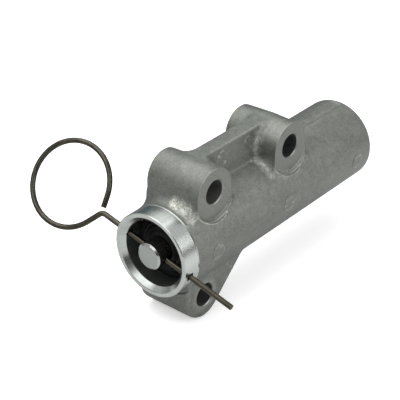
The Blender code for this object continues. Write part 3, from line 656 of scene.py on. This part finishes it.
def castEar():
    # round at the bolt, with a slope that runs out into the barrel
    c = casting
    y, z = c["ear"]
    r, slope, fillet = c["earRadius"], c["earSlope"], c["earFillet"]
    outline = arcPoints((y, z), r, math.pi, 1.5 * math.pi + slope, 36)
    tip = outline[-1]
    level = -math.sqrt(c["radius"] ** 2 - c["near"] ** 2)
    run = (level - tip[1]) / math.tan(slope)
    last = tip[0] + run + fillet * math.tan(slope / 2)
    outline += arcPoints((last, level - fillet), fillet, math.pi / 2 + slope, math.pi / 2, 8)
    outline += [(last, c["earTop"]), (y - r, c["earTop"])]
    piece = slab("castEar", outline, c["near"] + c["skim"], c["far"] + c["skim"])
    editMode(piece, "EDGE")
    pick(piece, lambda e: len({round(v.co.x, 6) for v in e.verts}) == 1
         and any(v.co.z < c["earTop"] - mm / 2 for v in e.verts), "EDGE")
    bpy.ops.mesh.bevel(offset=c["earEdge"], segments=4, affect="EDGES")
    objectMode()
    return piece


def castBlank():
    c = casting
    blank = castBarrel()
    parts = [castBoss("frontColumn", c["frontBoss"]), castBoss("rearColumn", c["rearBoss"]),
             castFoot("frontFoot", c["frontBoss"], c["footFront"], c["footBehind"]),
             castFoot("rearFoot", c["rearBoss"], c["footRear"], c["footBehind"]),
             castWeb(), webFillet("frontFillet", c["frontBoss"], c["frontFillet"], 1),
             webFillet("rearFillet", c["rearBoss"], c["rearFillet"], -1),
             webRoot("nearRoot", c["webNear"], 1), webRoot("farRoot", c["webFar"], -1),
             castEar()]
    joinAll(blank, parts)
    skin = blank.modifiers.new("skin", "REMESH")
    skin.mode = "VOXEL"
    skin.voxel_size = c["voxel"]
    soften = blank.modifiers.new("soften", "SMOOTH")
    soften.factor = 0.5
    soften.iterations = c["softening"]
    for name in ("skin", "soften"):
        bpy.ops.object.modifier_apply(modifier=name)
    return blank


# What the die leaves on the skin: raised parting strips and round ejector marks.
dieMarks = {
    "stripFrom": 66.0 * mm, "stripTo": 109.9 * mm, "stripNear": 2.3 * mm, "stripFar": 3.1 * mm,
    "stripTop": 16.02 * mm, "stripLow": 14 * mm, "stripHigh": 17 * mm,
    "markHeight": 0.1 * mm, "markEdge": 0.08 * mm, "markSteps": 48,
    # places and radii in millimetres
    "flat": {"webMarkRear": (2.7, 50.9, 23.3, 3.0), "webMarkFront": (2.7, 36.2, 23.5, 3.0),
             "earMark": (11.05, 30.2, -13.9, 1.8)},
    "round": {"barrelMarkFront": (15.9, 18.6, -0.6, 3.0), "barrelMarkMiddle": (15.9, 59.0, 0.0, 3.0),
              "barrelMarkRear": (15.9, 102.4, -1.2, 3.0)},
}


def barrelCore(name, radius, low, high):
    # a plain length of the barrel, to shape what follows its round
    core = barrel(name, radius, low, high)
    pick(core, lambda e: abs(e.verts[0].co.y - e.verts[1].co.y) > mm, "EDGE")
    bpy.ops.mesh.subdivide(number_cuts=int((high - low) / (3 * mm)))
    objectMode()
    return core


def partingStrip(name, side):
    d = dieMarks
    low, high = (d["stripLow"], d["stripHigh"]) if side > 0 else (-d["stripHigh"], -d["stripLow"])
    outline = [(d["stripFrom"], low), (d["stripTo"], low), (d["stripTo"], high),
               (d["stripFrom"], high)]
    piece = slab(name, outline, d["stripNear"], d["stripFar"])
    carve(piece, barrelCore(name + "Core", d["stripTop"], d["stripFrom"] - mm, d["stripTo"] + mm),
          "INTERSECT")
    return piece


def markPin(name, place, onBarrel):
    # the raised print of an ejector pin, which follows the barrel's round when it is on it
    d = dieMarks
    x, y, z, r = (v * mm for v in place)
    edge = d["markEdge"]
    face = x + d["markHeight"]
    base = x - 0.3 * mm
    profile = [(0, base), (r + edge, base), (r + edge, x), (r, face), (r - 0.25 * mm, face),
               (r / 2, face), (0, face)]
    if onBarrel:
        profile = [(0, x - mm), (r, x - mm), (r, x + mm), (0, x + mm)]
    pin = acrossPiece(name, profile, y, z, d["markSteps"])
    if onBarrel:
        core = barrelCore(name + "Core", casting["radius"] + d["markHeight"], y - 5 * mm, y + 5 * mm)
        carve(pin, core, "INTERSECT")
    return pin


def markSkin(piece):
    d = dieMarks
    carve(piece, partingStrip("topStrip", 1), "UNION")
    carve(piece, partingStrip("bottomStrip", -1), "UNION")
    for kind in ("flat", "round"):
        for name, place in d[kind].items():
            carve(piece, markPin(name, place, kind == "round"), "UNION")


# Turning, boring, facing and drilling, with the tools' own shapes.
machining = {
    "rim": 0.96 * mm, "collarRadius": 15.8 * mm, "collarEnd": 7.95 * mm, "rimBreak": 0.25 * mm,
    "relief": 0.22 * mm, "reliefOut": ((0.3 * mm, 0.45 * mm), (2.2 * mm, 0.6 * mm)),
    "mouthRadius": 12.5 * mm, "mouthChamfer": 1.8 * mm, "mouthEnd": 12.4 * mm,
    "mouthReach": 2.15 * mm, "mouthRound": 0.845 * mm, "mouthSlope": math.radians(45),
    "sealBore": 11.5 * mm, "grooveStart": 13.8 * mm, "grooveEnd": 15.6 * mm,
    "shoulder": 31.3 * mm, "reservoir": 10.4 * mm, "floor": 107.3 * mm,
    "holeRadius": 4.35 * mm, "holeBreak": 0.35 * mm, "spotFlat": 9.2 * mm, "spot": 10.75 * mm,
    "earFlat": 7.6 * mm, "earSpot": 8.4 * mm,
    "pinY": 4.2 * mm, "pinSlope": math.radians(14), "pinHole": 1.6 * mm, "pinBreak": 0.25 * mm,
    "turningSteps": 160, "drillSteps": 40, "before": -3 * mm, "past": 9 * mm,
}
pinWay = Vector((math.cos(machining["pinSlope"]), 0, -math.sin(machining["pinSlope"])))
boltPlaces = {"frontSpot": (casting["frontBoss"], casting["bossZ"]),
              "rearSpot": (casting["rearBoss"], casting["bossZ"]), "earSpot": casting["ear"]}


def turningTool():
    m = machining
    rim, collar = m["rim"], m["collarRadius"]
    mouth, chamfer = m["mouthRadius"], m["mouthChamfer"]
    profile = [
        (0, m["floor"]), (m["reservoir"], m["floor"]), (m["reservoir"], m["shoulder"]),
        (m["sealBore"], m["shoulder"]), (m["sealBore"], m["grooveEnd"]),
        (mouth, m["grooveEnd"]), (mouth, m["grooveStart"]), (m["sealBore"], m["grooveStart"]),
        (m["sealBore"], m["mouthEnd"]), (mouth, m["mouthEnd"]), (mouth, rim + chamfer)]
    profile += arcPoints((mouth + m["mouthReach"], rim + m["mouthRound"]), m["mouthRound"],
                         1.5 * math.pi - m["mouthSlope"], 1.5 * math.pi, 7)
    profile += [(collar - m["rimBreak"], rim), (collar, rim + m["rimBreak"]),
                (collar, m["collarEnd"] - m["relief"]), (collar - m["relief"], m["collarEnd"])]
    profile += [(collar + out, m["collarEnd"] + along) for out, along in m["reliefOut"]]
    profile += [(profile[-1][0], m["before"]), (0, m["before"])]
    return turnPiece("turningTool", profile, m["turningSteps"])


def spotTool(name, y, z, flat, radius):
    # one tool for a bolt's hole, its breaks and the two faces, with a soft corner
    m, c = machining, casting
    hole, edge = m["holeRadius"], m["holeBreak"]
    near, far, past = c["near"], -c["far"], m["past"]
    rise = radius - flat
    profile = [(0, near + past), (radius, near + past), (radius, near + rise)]
    profile += arcPoints((flat, near + rise), rise, 0, -math.pi / 2, 7)[1:]
    profile += [(hole + edge, near), (hole, near - edge), (hole, far + edge), (hole + edge, far),
                (flat, far), (radius, far - rise), (radius, far - past), (0, far - past)]
    return acrossPiece(name, profile, y, z)


def drillPinHole():
    m = machining
    r, edge, out = m["pinHole"], m["pinBreak"], m["collarRadius"]
    profile = [(0, out + mm), (r + edge + mm, out + mm), (r, out - edge), (r, -out + edge),
               (r + edge + mm, -out - mm), (0, -out - mm)]
    return turnOnto(turnPiece("pinDrill", profile, m["drillSteps"]), (0, m["pinY"], 0), pinWay)


def machineHousing(piece):
    m = machining
    carve(piece, turningTool())
    for name, (y, z) in boltPlaces.items():
        flat, radius = (m["spotFlat"], m["spot"]) if z > 0 else (m["earFlat"], m["earSpot"])
        carve(piece, spotTool(name, y, z, flat, radius))
    carve(piece, drillPinHole())


housing = castBlank()
print("casting blank made", len(housing.data.polygons))
markSkin(housing)
print("die marks made", len(housing.data.polygons))
machineHousing(housing)
print("housing machined", len(housing.data.polygons))


def finishOf(centre, normal):
    # the look of a face, from its place and its direction
    c, m = casting, machining
    close, hair = mm / 50, mm / 100
    radius = math.hypot(centre.x, centre.z)
    fromPin = (centre - Vector((0, m["pinY"], 0))).cross(pinWay).length
    # bore and pin hole walls get the darkened finish that paints their shade
    if fromPin < m["pinHole"] + close and abs(normal.dot(pinWay)) < 0.3:
        return "bored"
    if radius < m["mouthRadius"] + close:
        if m["rim"] + m["mouthChamfer"] - close < centre.y < m["floor"] + mm / 20:
            return "bored"
    reliefOut, reliefEnd = m["reliefOut"][1]
    if centre.y < m["collarEnd"] + reliefEnd - mm / 20:
        facesFront = normal.y < -0.6 and centre.z > -8 * mm
        if radius < m["collarRadius"] + (reliefOut - mm / 20 if facesFront else 2 * close):
            return "turned"
    for y, z in boltPlaces.values():
        away = math.hypot(centre.y - y, centre.z - z)
        if away < m["holeRadius"] + m["holeBreak"] and abs(normal.x) < 0.9:
            return "drilled"
        # the spot face's wall gets the lighter finish that paints its highlight
        if z > 0 and abs(away - m["spot"]) < 0.15 * mm and centre.x > c["near"] + mm / 2:
            return "freshlyCut"
        if z > 0 and away < m["spotFlat"] and abs(centre.x - c["near"]) < hair:
            return "seat"
    return "faced" if abs(centre.x + c["far"]) < hair and normal.x < -0.99 else "cast"


def finishHousing(piece):
    piece.data.materials.clear()
    for material in castingMetals.values():
        piece.data.materials.append(material)
    order = list(castingMetals)
    for face in piece.data.polygons:
        face.material_index = order.index(finishOf(face.center, face.normal))
    makeActive(piece)
    bpy.ops.object.shade_smooth_by_angle(angle=math.radians(28))
    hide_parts("housing")
    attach(piece, "body")


finishHousing(housing)
print("housing finished")


# Locking wire: straight pin, neck bend and open finger ring, swept from one round section.
lockingWire = {
    "radius": 1.0 * mm, "y": machining["pinY"], "slope": machining["pinSlope"], "tail": 34.2 * mm,
    "neck": 25.5 * mm, "neckBend": 2.6 * mm, "ringRadius": 15.53 * mm,
    "ringLean": math.radians(36.5), "reach": 16.8 * mm, "offset": 1.5 * mm,
    "ringEnd": math.radians(165), "endStraight": 4.1 * mm, "endBreak": 0.22 * mm, "sides": 24,
    "bendSteps": 12, "ringSteps": 132,
}


def sweepStraight(start, end):
    step = Vector((end[0] - start[0], end[1] - start[1], 0))
    bpy.ops.mesh.extrude_region_move(TRANSFORM_OT_translate={"value": step})


def sweepArc(middle, angle, steps):
    # spin counts its angle clockwise about the axis
    bpy.ops.mesh.spin(steps=steps, angle=-angle, center=(*middle, 0), axis=(0, 0, 1))


def capEnd():
    bpy.ops.mesh.edge_face_add()
    bpy.ops.mesh.bevel(offset=lockingWire["endBreak"], segments=3, affect="EDGES")
    objectMode()


def makeLockingWire():
    w = lockingWire
    middle = (w["neck"] + w["reach"], w["offset"])
    away = math.hypot(w["reach"], w["offset"])
    heading = math.atan2(w["offset"], w["reach"]) - math.asin(w["ringRadius"] / away)
    setback = w["neckBend"] * math.tan(-heading / 2)
    bendMiddle = (w["neck"] - setback, -w["neckBend"])
    bendEnd = arcPoints(bendMiddle, w["neckBend"], math.pi / 2, math.pi / 2 + heading, 2)[-1]
    ring = arcPoints(middle, w["ringRadius"], heading - math.pi / 2, w["ringEnd"], 2)
    end = (ring[1][0] - w["endStraight"] * math.sin(w["ringEnd"]),
           ring[1][1] + w["endStraight"] * math.cos(w["ringEnd"]))
    clearSelection()
    bpy.ops.mesh.primitive_circle_add(
        vertices=w["sides"], radius=w["radius"], location=(-w["tail"], 0, 0),
        rotation=(0, math.pi / 2, 0))
    piece = named("lockingWire")
    settle(piece)
    editMode(piece, "EDGE")
    bpy.ops.mesh.select_all(action="SELECT")
    sweepStraight((-w["tail"], 0), (bendMiddle[0], 0))
    sweepArc(bendMiddle, heading, w["bendSteps"])
    sweepStraight(bendEnd, ring[0])
    sweepArc(middle, w["ringEnd"] - heading + math.pi / 2, w["ringSteps"])
    sweepStraight(ring[1], end)
    capEnd()
    editMode(piece, "EDGE")
    pick(piece, lambda e: all(v.co.x < -w["tail"] + mm / 100 for v in e.verts), "EDGE")
    capEnd()
    outward(piece)
    along = Vector((-math.cos(w["slope"]), 0, math.sin(w["slope"])))
    across = (-along).cross(Vector((0, 1, 0)))
    up = math.cos(w["ringLean"]) * across + math.sin(w["ringLean"]) * Vector((0, 1, 0))
    turn = Matrix((along, up, along.cross(up))).transposed()
    piece.matrix_world = Matrix.Translation((0, w["y"], 0)) @ turn.to_4x4()
    settle(piece)
    return piece


wirePiece = makeLockingWire()
print("locking wire made", len(wirePiece.data.polygons))


# Plunger rod: turned, then slotted for the locking wire.
plunger = {
    "radius": 5.0 * mm, "end": 48.8 * mm, "nose": 2.5 * mm, "chamfer": 0.6 * mm,
    "groove": 4.4 * mm, "grooveStart": 6.3 * mm, "grooveEnd": 8.5 * mm, "slotHalf": 1.4 * mm,
    "edge": 0.12 * mm, "stroke": 10.0 * mm, "slotReach": 8 * mm,
}


def makePlungerRod():
    p = plunger
    r, groove, edge, chamfer = p["radius"], p["groove"], p["edge"], p["chamfer"]
    low, high = p["grooveStart"], p["grooveEnd"]
    profile = [(0, p["end"])]
    profile += arcPoints((r - p["nose"], p["end"] - p["nose"]), p["nose"], math.pi / 2, 0, 14)
    profile += [(r, high + edge), (r - edge, high), (groove + edge, high), (groove, high - edge),
                (groove, low + edge), (groove + edge, low), (r - edge, low), (r, low - edge)]
    # the chamfer, with a softer corner at each end
    profile += [(r, chamfer + edge), (r - 0.03 * mm, chamfer), (r - chamfer - 0.02 * mm, 0.06 * mm),
                (r - chamfer - 0.12 * mm, 0.0), (0, 0)]
    piece = turnPiece("plungerRodPiece", profile)
    half, stroke = p["slotHalf"], p["stroke"]
    outline = arcPoints((0, 0), half, math.pi, 2 * math.pi, 17)
    outline += arcPoints((0, stroke), half, 0, math.pi, 17)
    tool = slab("slotTool", [(y, z) for z, y in outline], p["slotReach"], p["slotReach"])
    tool.matrix_world = (Matrix.Translation((0, lockingWire["y"], 0))
                         @ Matrix.Rotation(lockingWire["slope"], 4, "Y"))
    settle(tool)
    carve(piece, tool)
    return piece


rodPiece = makePlungerRod()
print("plunger rod made", len(rodPiece.data.polygons))


# Dust boot: a bead in the mouth, a stepped skin and a lip in the rod's groove.
boot = {
    "outer": 12.2 * mm, "beadEnd": 10.8 * mm, "bead": 9.1 * mm, "beadWidth": 1.6 * mm,
    "lip": 4.7 * mm, "lipStart": 6.6 * mm, "lipEnd": 8.2 * mm, "wall": 1.0 * mm, "edge": 0.25 * mm,
    "folds": 3, "fold": 0.24 * mm, "foldSteps": 16, "steps": 128,
}


def makeRubberBoot():
    b = boot
    half, edge, outer, bead, beadEnd = b["wall"] / 2, b["edge"], b["outer"], b["bead"], b["beadEnd"]
    inside, outside, low, high = b["lip"], b["lip"] + b["wall"], b["lipStart"], b["lipEnd"]
    fromRadius, fromY, toY = outer - b["beadWidth"], bead + half, (low + high) / 2
    count = b["foldSteps"] * b["folds"]
    skin = []
    for i in range(1, count):
        share = i / count
        wave = b["fold"] * math.sin(2 * math.pi * b["folds"] * share)
        skin.append((fromRadius + (outside - fromRadius) * share, fromY + (toY - fromY) * share + wave))
    profile = [(outer, beadEnd - edge), (outer, bead + edge), (outer - edge, bead)]
    profile += [(r, y - half) for r, y in skin]
    profile += [(outside, low + edge), (outside - edge, low), (inside + edge, low), (inside, low + edge),
                (inside, high - edge), (inside + edge, high), (outside, high)]
    profile += [(r, y + half) for r, y in reversed(skin)]
    profile += [(fromRadius, beadEnd), (outer - edge, beadEnd)]
    return turnPiece("rubberBoot", profile, b["steps"])


bootPiece = makeRubberBoot()
print("boot made", len(bootPiece.data.polygons))


# Looks of the other pieces, with grain or with turning marks and painted reflection streaks.
grainLooks = {
    "drawnWire": {"metallic": 0.9, "bump": (0.00004, 0.15), "Light": (0.075, 0.07, 0.053),
                  "Dark": (0.04, 0.037, 0.028), "Rough_Low": 0.2, "Rough_High": 0.32},
    "blackRubber": {"metallic": 0.0, "bump": (0.00004, 0.1), "Light": (0.008, 0.008, 0.008),
                    "Dark": (0.005, 0.005, 0.005), "Rough_Low": 0.5, "Rough_High": 0.7},
    "pressedSteel": {"metallic": 1.0, "bump": (0.00004, 0.1), "Light": (0.42, 0.42, 0.42),
                     "Dark": (0.3, 0.3, 0.3), "Rough_Low": 0.25, "Rough_High": 0.42},
    "sinteredBronze": {"metallic": 0.9, "bump": (0.00004, 0.5), "Light": (0.42, 0.27, 0.12),
                       "Dark": (0.28, 0.17, 0.075), "Rough_Low": 0.4, "Rough_High": 0.6},
    "wearPlastic": {"metallic": 0.0, "bump": (0.00004, 0.1), "Light": (0.6, 0.53, 0.4),
                    "Dark": (0.5, 0.43, 0.31), "Rough_Low": 0.4, "Rough_High": 0.55},
}
turnedLooks = {
    "groundRod": {"metallic": 1.0, "bump": (0.00002, 0.2), "Light": (0.39, 0.41, 0.39),
                  "Dark": (0.31, 0.33, 0.31), "Rough_Low": 0.28, "Rough_High": 0.42, "Pitch": 2600.0},
    "polishedRod": {"metallic": 1.0, "bump": (0.00001, 0.1), "Light": (0.5, 0.51, 0.5),
                    "Dark": (0.32, 0.33, 0.32), "Rough_Low": 0.08, "Rough_High": 0.16, "Pitch": 2600.0},
    # the rod's sides: ground steel darkened as painted shade inside the bore and the boot
    "oiledRod": {"metallic": 0.9, "bump": (0.00001, 0.1), "Light": (0.12, 0.12, 0.115),
                 "Dark": (0.07, 0.07, 0.066), "Rough_Low": 0.16, "Rough_High": 0.3, "Pitch": 2600.0},
    "hardenedSteel": {"metallic": 1.0, "bump": (0.00002, 0.15), "Light": (0.45, 0.46, 0.47),
                      "Dark": (0.33, 0.34, 0.35), "Rough_Low": 0.2, "Rough_High": 0.34,
                      "Pitch": 2200.0},
}
looks = {}
for name, look in grainLooks.items():
    looks[name] = surfaceFrom(name, castGrain, Rubbed=look["Light"], Wear=0.3, **look)
for name, look in turnedLooks.items():
    looks[name] = surfaceFrom(name, turnedMarks, **look)
rubberShader = looks["blackRubber"].node_tree.nodes["Principled BSDF"]
rubberShader.inputs["Specular IOR Level"].default_value = 0.2


def dress(piece, look, replaced, body, angle=32):
    piece.data.materials.clear()
    piece.data.materials.append(looks[look])
    makeActive(piece)
    bpy.ops.object.shade_smooth_by_angle(angle=math.radians(angle))
    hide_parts(replaced)
    if body:
        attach(piece, body)


dress(wirePiece, "drawnWire", "locking_pin", "pin")
dress(rodPiece, "groundRod", "plunger_rod", "plunger")
rodPiece.data.materials.append(looks["polishedRod"])
rodPiece.data.materials.append(looks["oiledRod"])
for face in rodPiece.data.polygons:
    front = face.center.y < plunger["chamfer"] + 0.2 * mm
    if front and -0.98 < face.normal.y < -0.1:
        face.material_index = 1
    # the rod's sides take the darkened look that paints their shade
    elif face.center.y > plunger["chamfer"] and abs(face.normal.y) < 0.5:
        face.material_index = 2
dress(bootPiece, "blackRubber", "dust_boot", None, 60)
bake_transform(bootPiece)


def copyNode(node, name):
    # a new object with its own mesh and no parent
    piece = bpy.data.objects.new(name, bpy.data.objects[node].data.copy())
    piece.data.name = name
    bpy.context.scene.collection.objects.link(piece)
    outward(piece)
    return piece


springPiece = copyNode("main_spring", "mainSpringPiece")
dress(springPiece, "drawnWire", "main_spring", None, 60)
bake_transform(springPiece)
ballSpringPiece = copyNode("ball_spring", "ballSpringPiece")
dress(ballSpringPiece, "drawnWire", "ball_spring", None, 60)
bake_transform(ballSpringPiece)

keptNodes = {
    "pressedSteel": ("boot_insert_ring", "seal_snap_ring", "garter_spring", "seal_washer",
                     "wear_ring_clip", "valve_cage"),
    "blackRubber": ("rod_seal", "guide_o_ring"), "sinteredBronze": ("rod_guide",),
    "wearPlastic": ("wear_ring",),
    "hardenedSteel": ("piston", "valve_seat", "check_ball", "pressure_sleeve"),
}
for look, nodes in keptNodes.items():
    for node in nodes:
        item = bpy.data.objects[node]
        if not item.material_slots:
            item.data.materials.append(None)
        for place in item.material_slots:
            place.material = looks[look]
print("inner pieces dressed")


# Places are in metres. The room and the floor have the tones that reflections show. Spans of the
# floor are (from, to, first tone, last tone).
studio = {
    "aim": (0.0, 0.05, 0.0),
    "lamps": {
        "topLamp": {"place": (-0.28, 0.0, 0.8), "width": 1.3, "height": 0.8, "power": 6.8},
        "stripLamp": {"place": (0.02, 0.7, 0.8), "width": 0.1, "height": 0.5, "power": 0.22},
        "frontLamp": {"place": (-0.08, -0.85, 0.75), "width": 0.75, "height": 0.7, "power": 1.8},
        "sideLamp": {"place": (0.85, 0.25, 0.4), "width": 0.7, "height": 0.5, "power": 4.0},
    },
    "room": [(0.0, 0.32), (0.12, 0.32), (0.35, 0.62), (0.8, 0.86)],
    "darkSides": [((-0.70, 0.71, 0.0), 0.84, 0.94, (0.24, 0.33, 0.36)),
                  ((0.69, -0.72, 0.05), 0.8, 0.97, (0.2, 0.2, 0.2))],
    "floorSize": 6, "floorDrop": 0.5 * mm, "floorTone": 0.86, "floorGlow": 0.42, "floorCorner": 0.2,
    "floorSpans": {"front": (-0.06, 0.09, 0.6, 0.8), "far": (0.25, 0.6, 1.0, 0.4),
                   "left": (-0.03, -0.06, 0.0, 1.0), "behind": (0.01, 0.05, 0.0, 1.0)},
}


def setLights():
    aim = Vector(studio["aim"])
    for name, lamp in studio["lamps"].items():
        data = bpy.data.lights.new(name, "AREA")
        data.shape = "RECTANGLE"
        data.size = lamp["width"]
        data.size_y = lamp["height"]
        data.energy = lamp["power"]
        item = bpy.data.objects.new(name, data)
        item.location = lamp["place"]
        item.rotation_mode = "QUATERNION"
        item.rotation_quaternion = (item.location - aim).to_track_quat("Z", "Y")
        bpy.context.scene.collection.objects.link(item)


def setWorld():
    # white for the camera, a grey room with two dark sides for everything else
    world = bpy.data.worlds.new("studioWorld")
    bpy.context.scene.world = world
    world.use_nodes = True
    tree = world.node_tree
    back = tree.nodes["Background"]
    way = addNode(tree, "ShaderNodeTexCoord", -1300, -200).outputs["Generated"]
    tone = rampNode(tree, -900, -200, partsOf(tree, -1100, -200, way)["Z"], studio["room"])
    for row, (side, start, end, dim) in enumerate(studio["darkSides"]):
        toward = vectorMath(tree, -900, -500 - 200 * row, "DOT_PRODUCT", way, side)
        shade = rangeNode(tree, -700, -500 - 200 * row, toward.outputs["Value"], start, end)
        tone = mixColour(tree, -500 + 150 * row, -300, shade, tone, dim, "MULTIPLY")
    seen = addNode(tree, "ShaderNodeLightPath", -300, 200).outputs["Is Camera Ray"]
    wire(tree, mixColour(tree, -100, 0, seen, tone, (1.0, 1.0, 1.0)), back.inputs["Color"])
    back.inputs["Strength"].default_value = 1.0


def setFloor():
    # pale to the eye, with a darker front and a dark corner for the reflections
    clearSelection()
    bpy.ops.mesh.primitive_plane_add(
        size=studio["floorSize"], location=(0, 0, cadLow.z - studio["floorDrop"]))
    floor = named("paleFloor")
    settle(floor)
    tone, spans = studio["floorTone"], studio["floorSpans"]
    material, tree, shader = newMaterial("paleFloor", 0.0, 0.9, (tone, tone, tone))
    shader.inputs["Emission Color"].default_value = (1, 1, 1, 1)
    paths = addNode(tree, "ShaderNodeLightPath", -600, 0)
    wire(tree, mathNode(tree, -300, 0, "MULTIPLY", paths.outputs["Is Camera Ray"],
                        studio["floorGlow"]), shader.inputs["Emission Strength"])
    parts = partsOf(tree, -1200, 300, objectPlace(tree, -1400, 300))
    along = mathNode(tree, -1000, 300, "ADD", parts["X"], parts["Y"])
    dim = rangeNode(tree, -800, 500, along, *spans["front"])
    far = rangeNode(tree, -800, 300, along, *spans["far"])
    left = rangeNode(tree, -1000, 100, parts["X"], *spans["left"])
    behind = rangeNode(tree, -1000, -100, parts["Y"], *spans["behind"])
    corner = mathNode(tree, -800, 0, "MULTIPLY", left, behind)
    corner = mathNode(tree, -600, 100, "MULTIPLY", corner, studio["floorCorner"] - 1.0)
    corner = mathNode(tree, -450, 100, "ADD", corner, 1.0)
    dim = mathNode(tree, -600, 400, "MULTIPLY", dim, far)
    dim = mathNode(tree, -450, 400, "MULTIPLY", dim, corner)
    grey = addNode(tree, "ShaderNodeCombineColor", -400, 550)
    for socket in grey.inputs:
        wire(tree, dim, socket)
    wire(tree, mixColour(tree, -250, 300, paths.outputs["Is Glossy Ray"], (tone, tone, tone),
                         grey.outputs[0]), shader.inputs["Base Color"])
    floor.data.materials.append(material)


setLights()
setWorld()
setFloor()
view = bpy.context.scene.view_settings
view.view_transform = "Standard"
print("studio set")
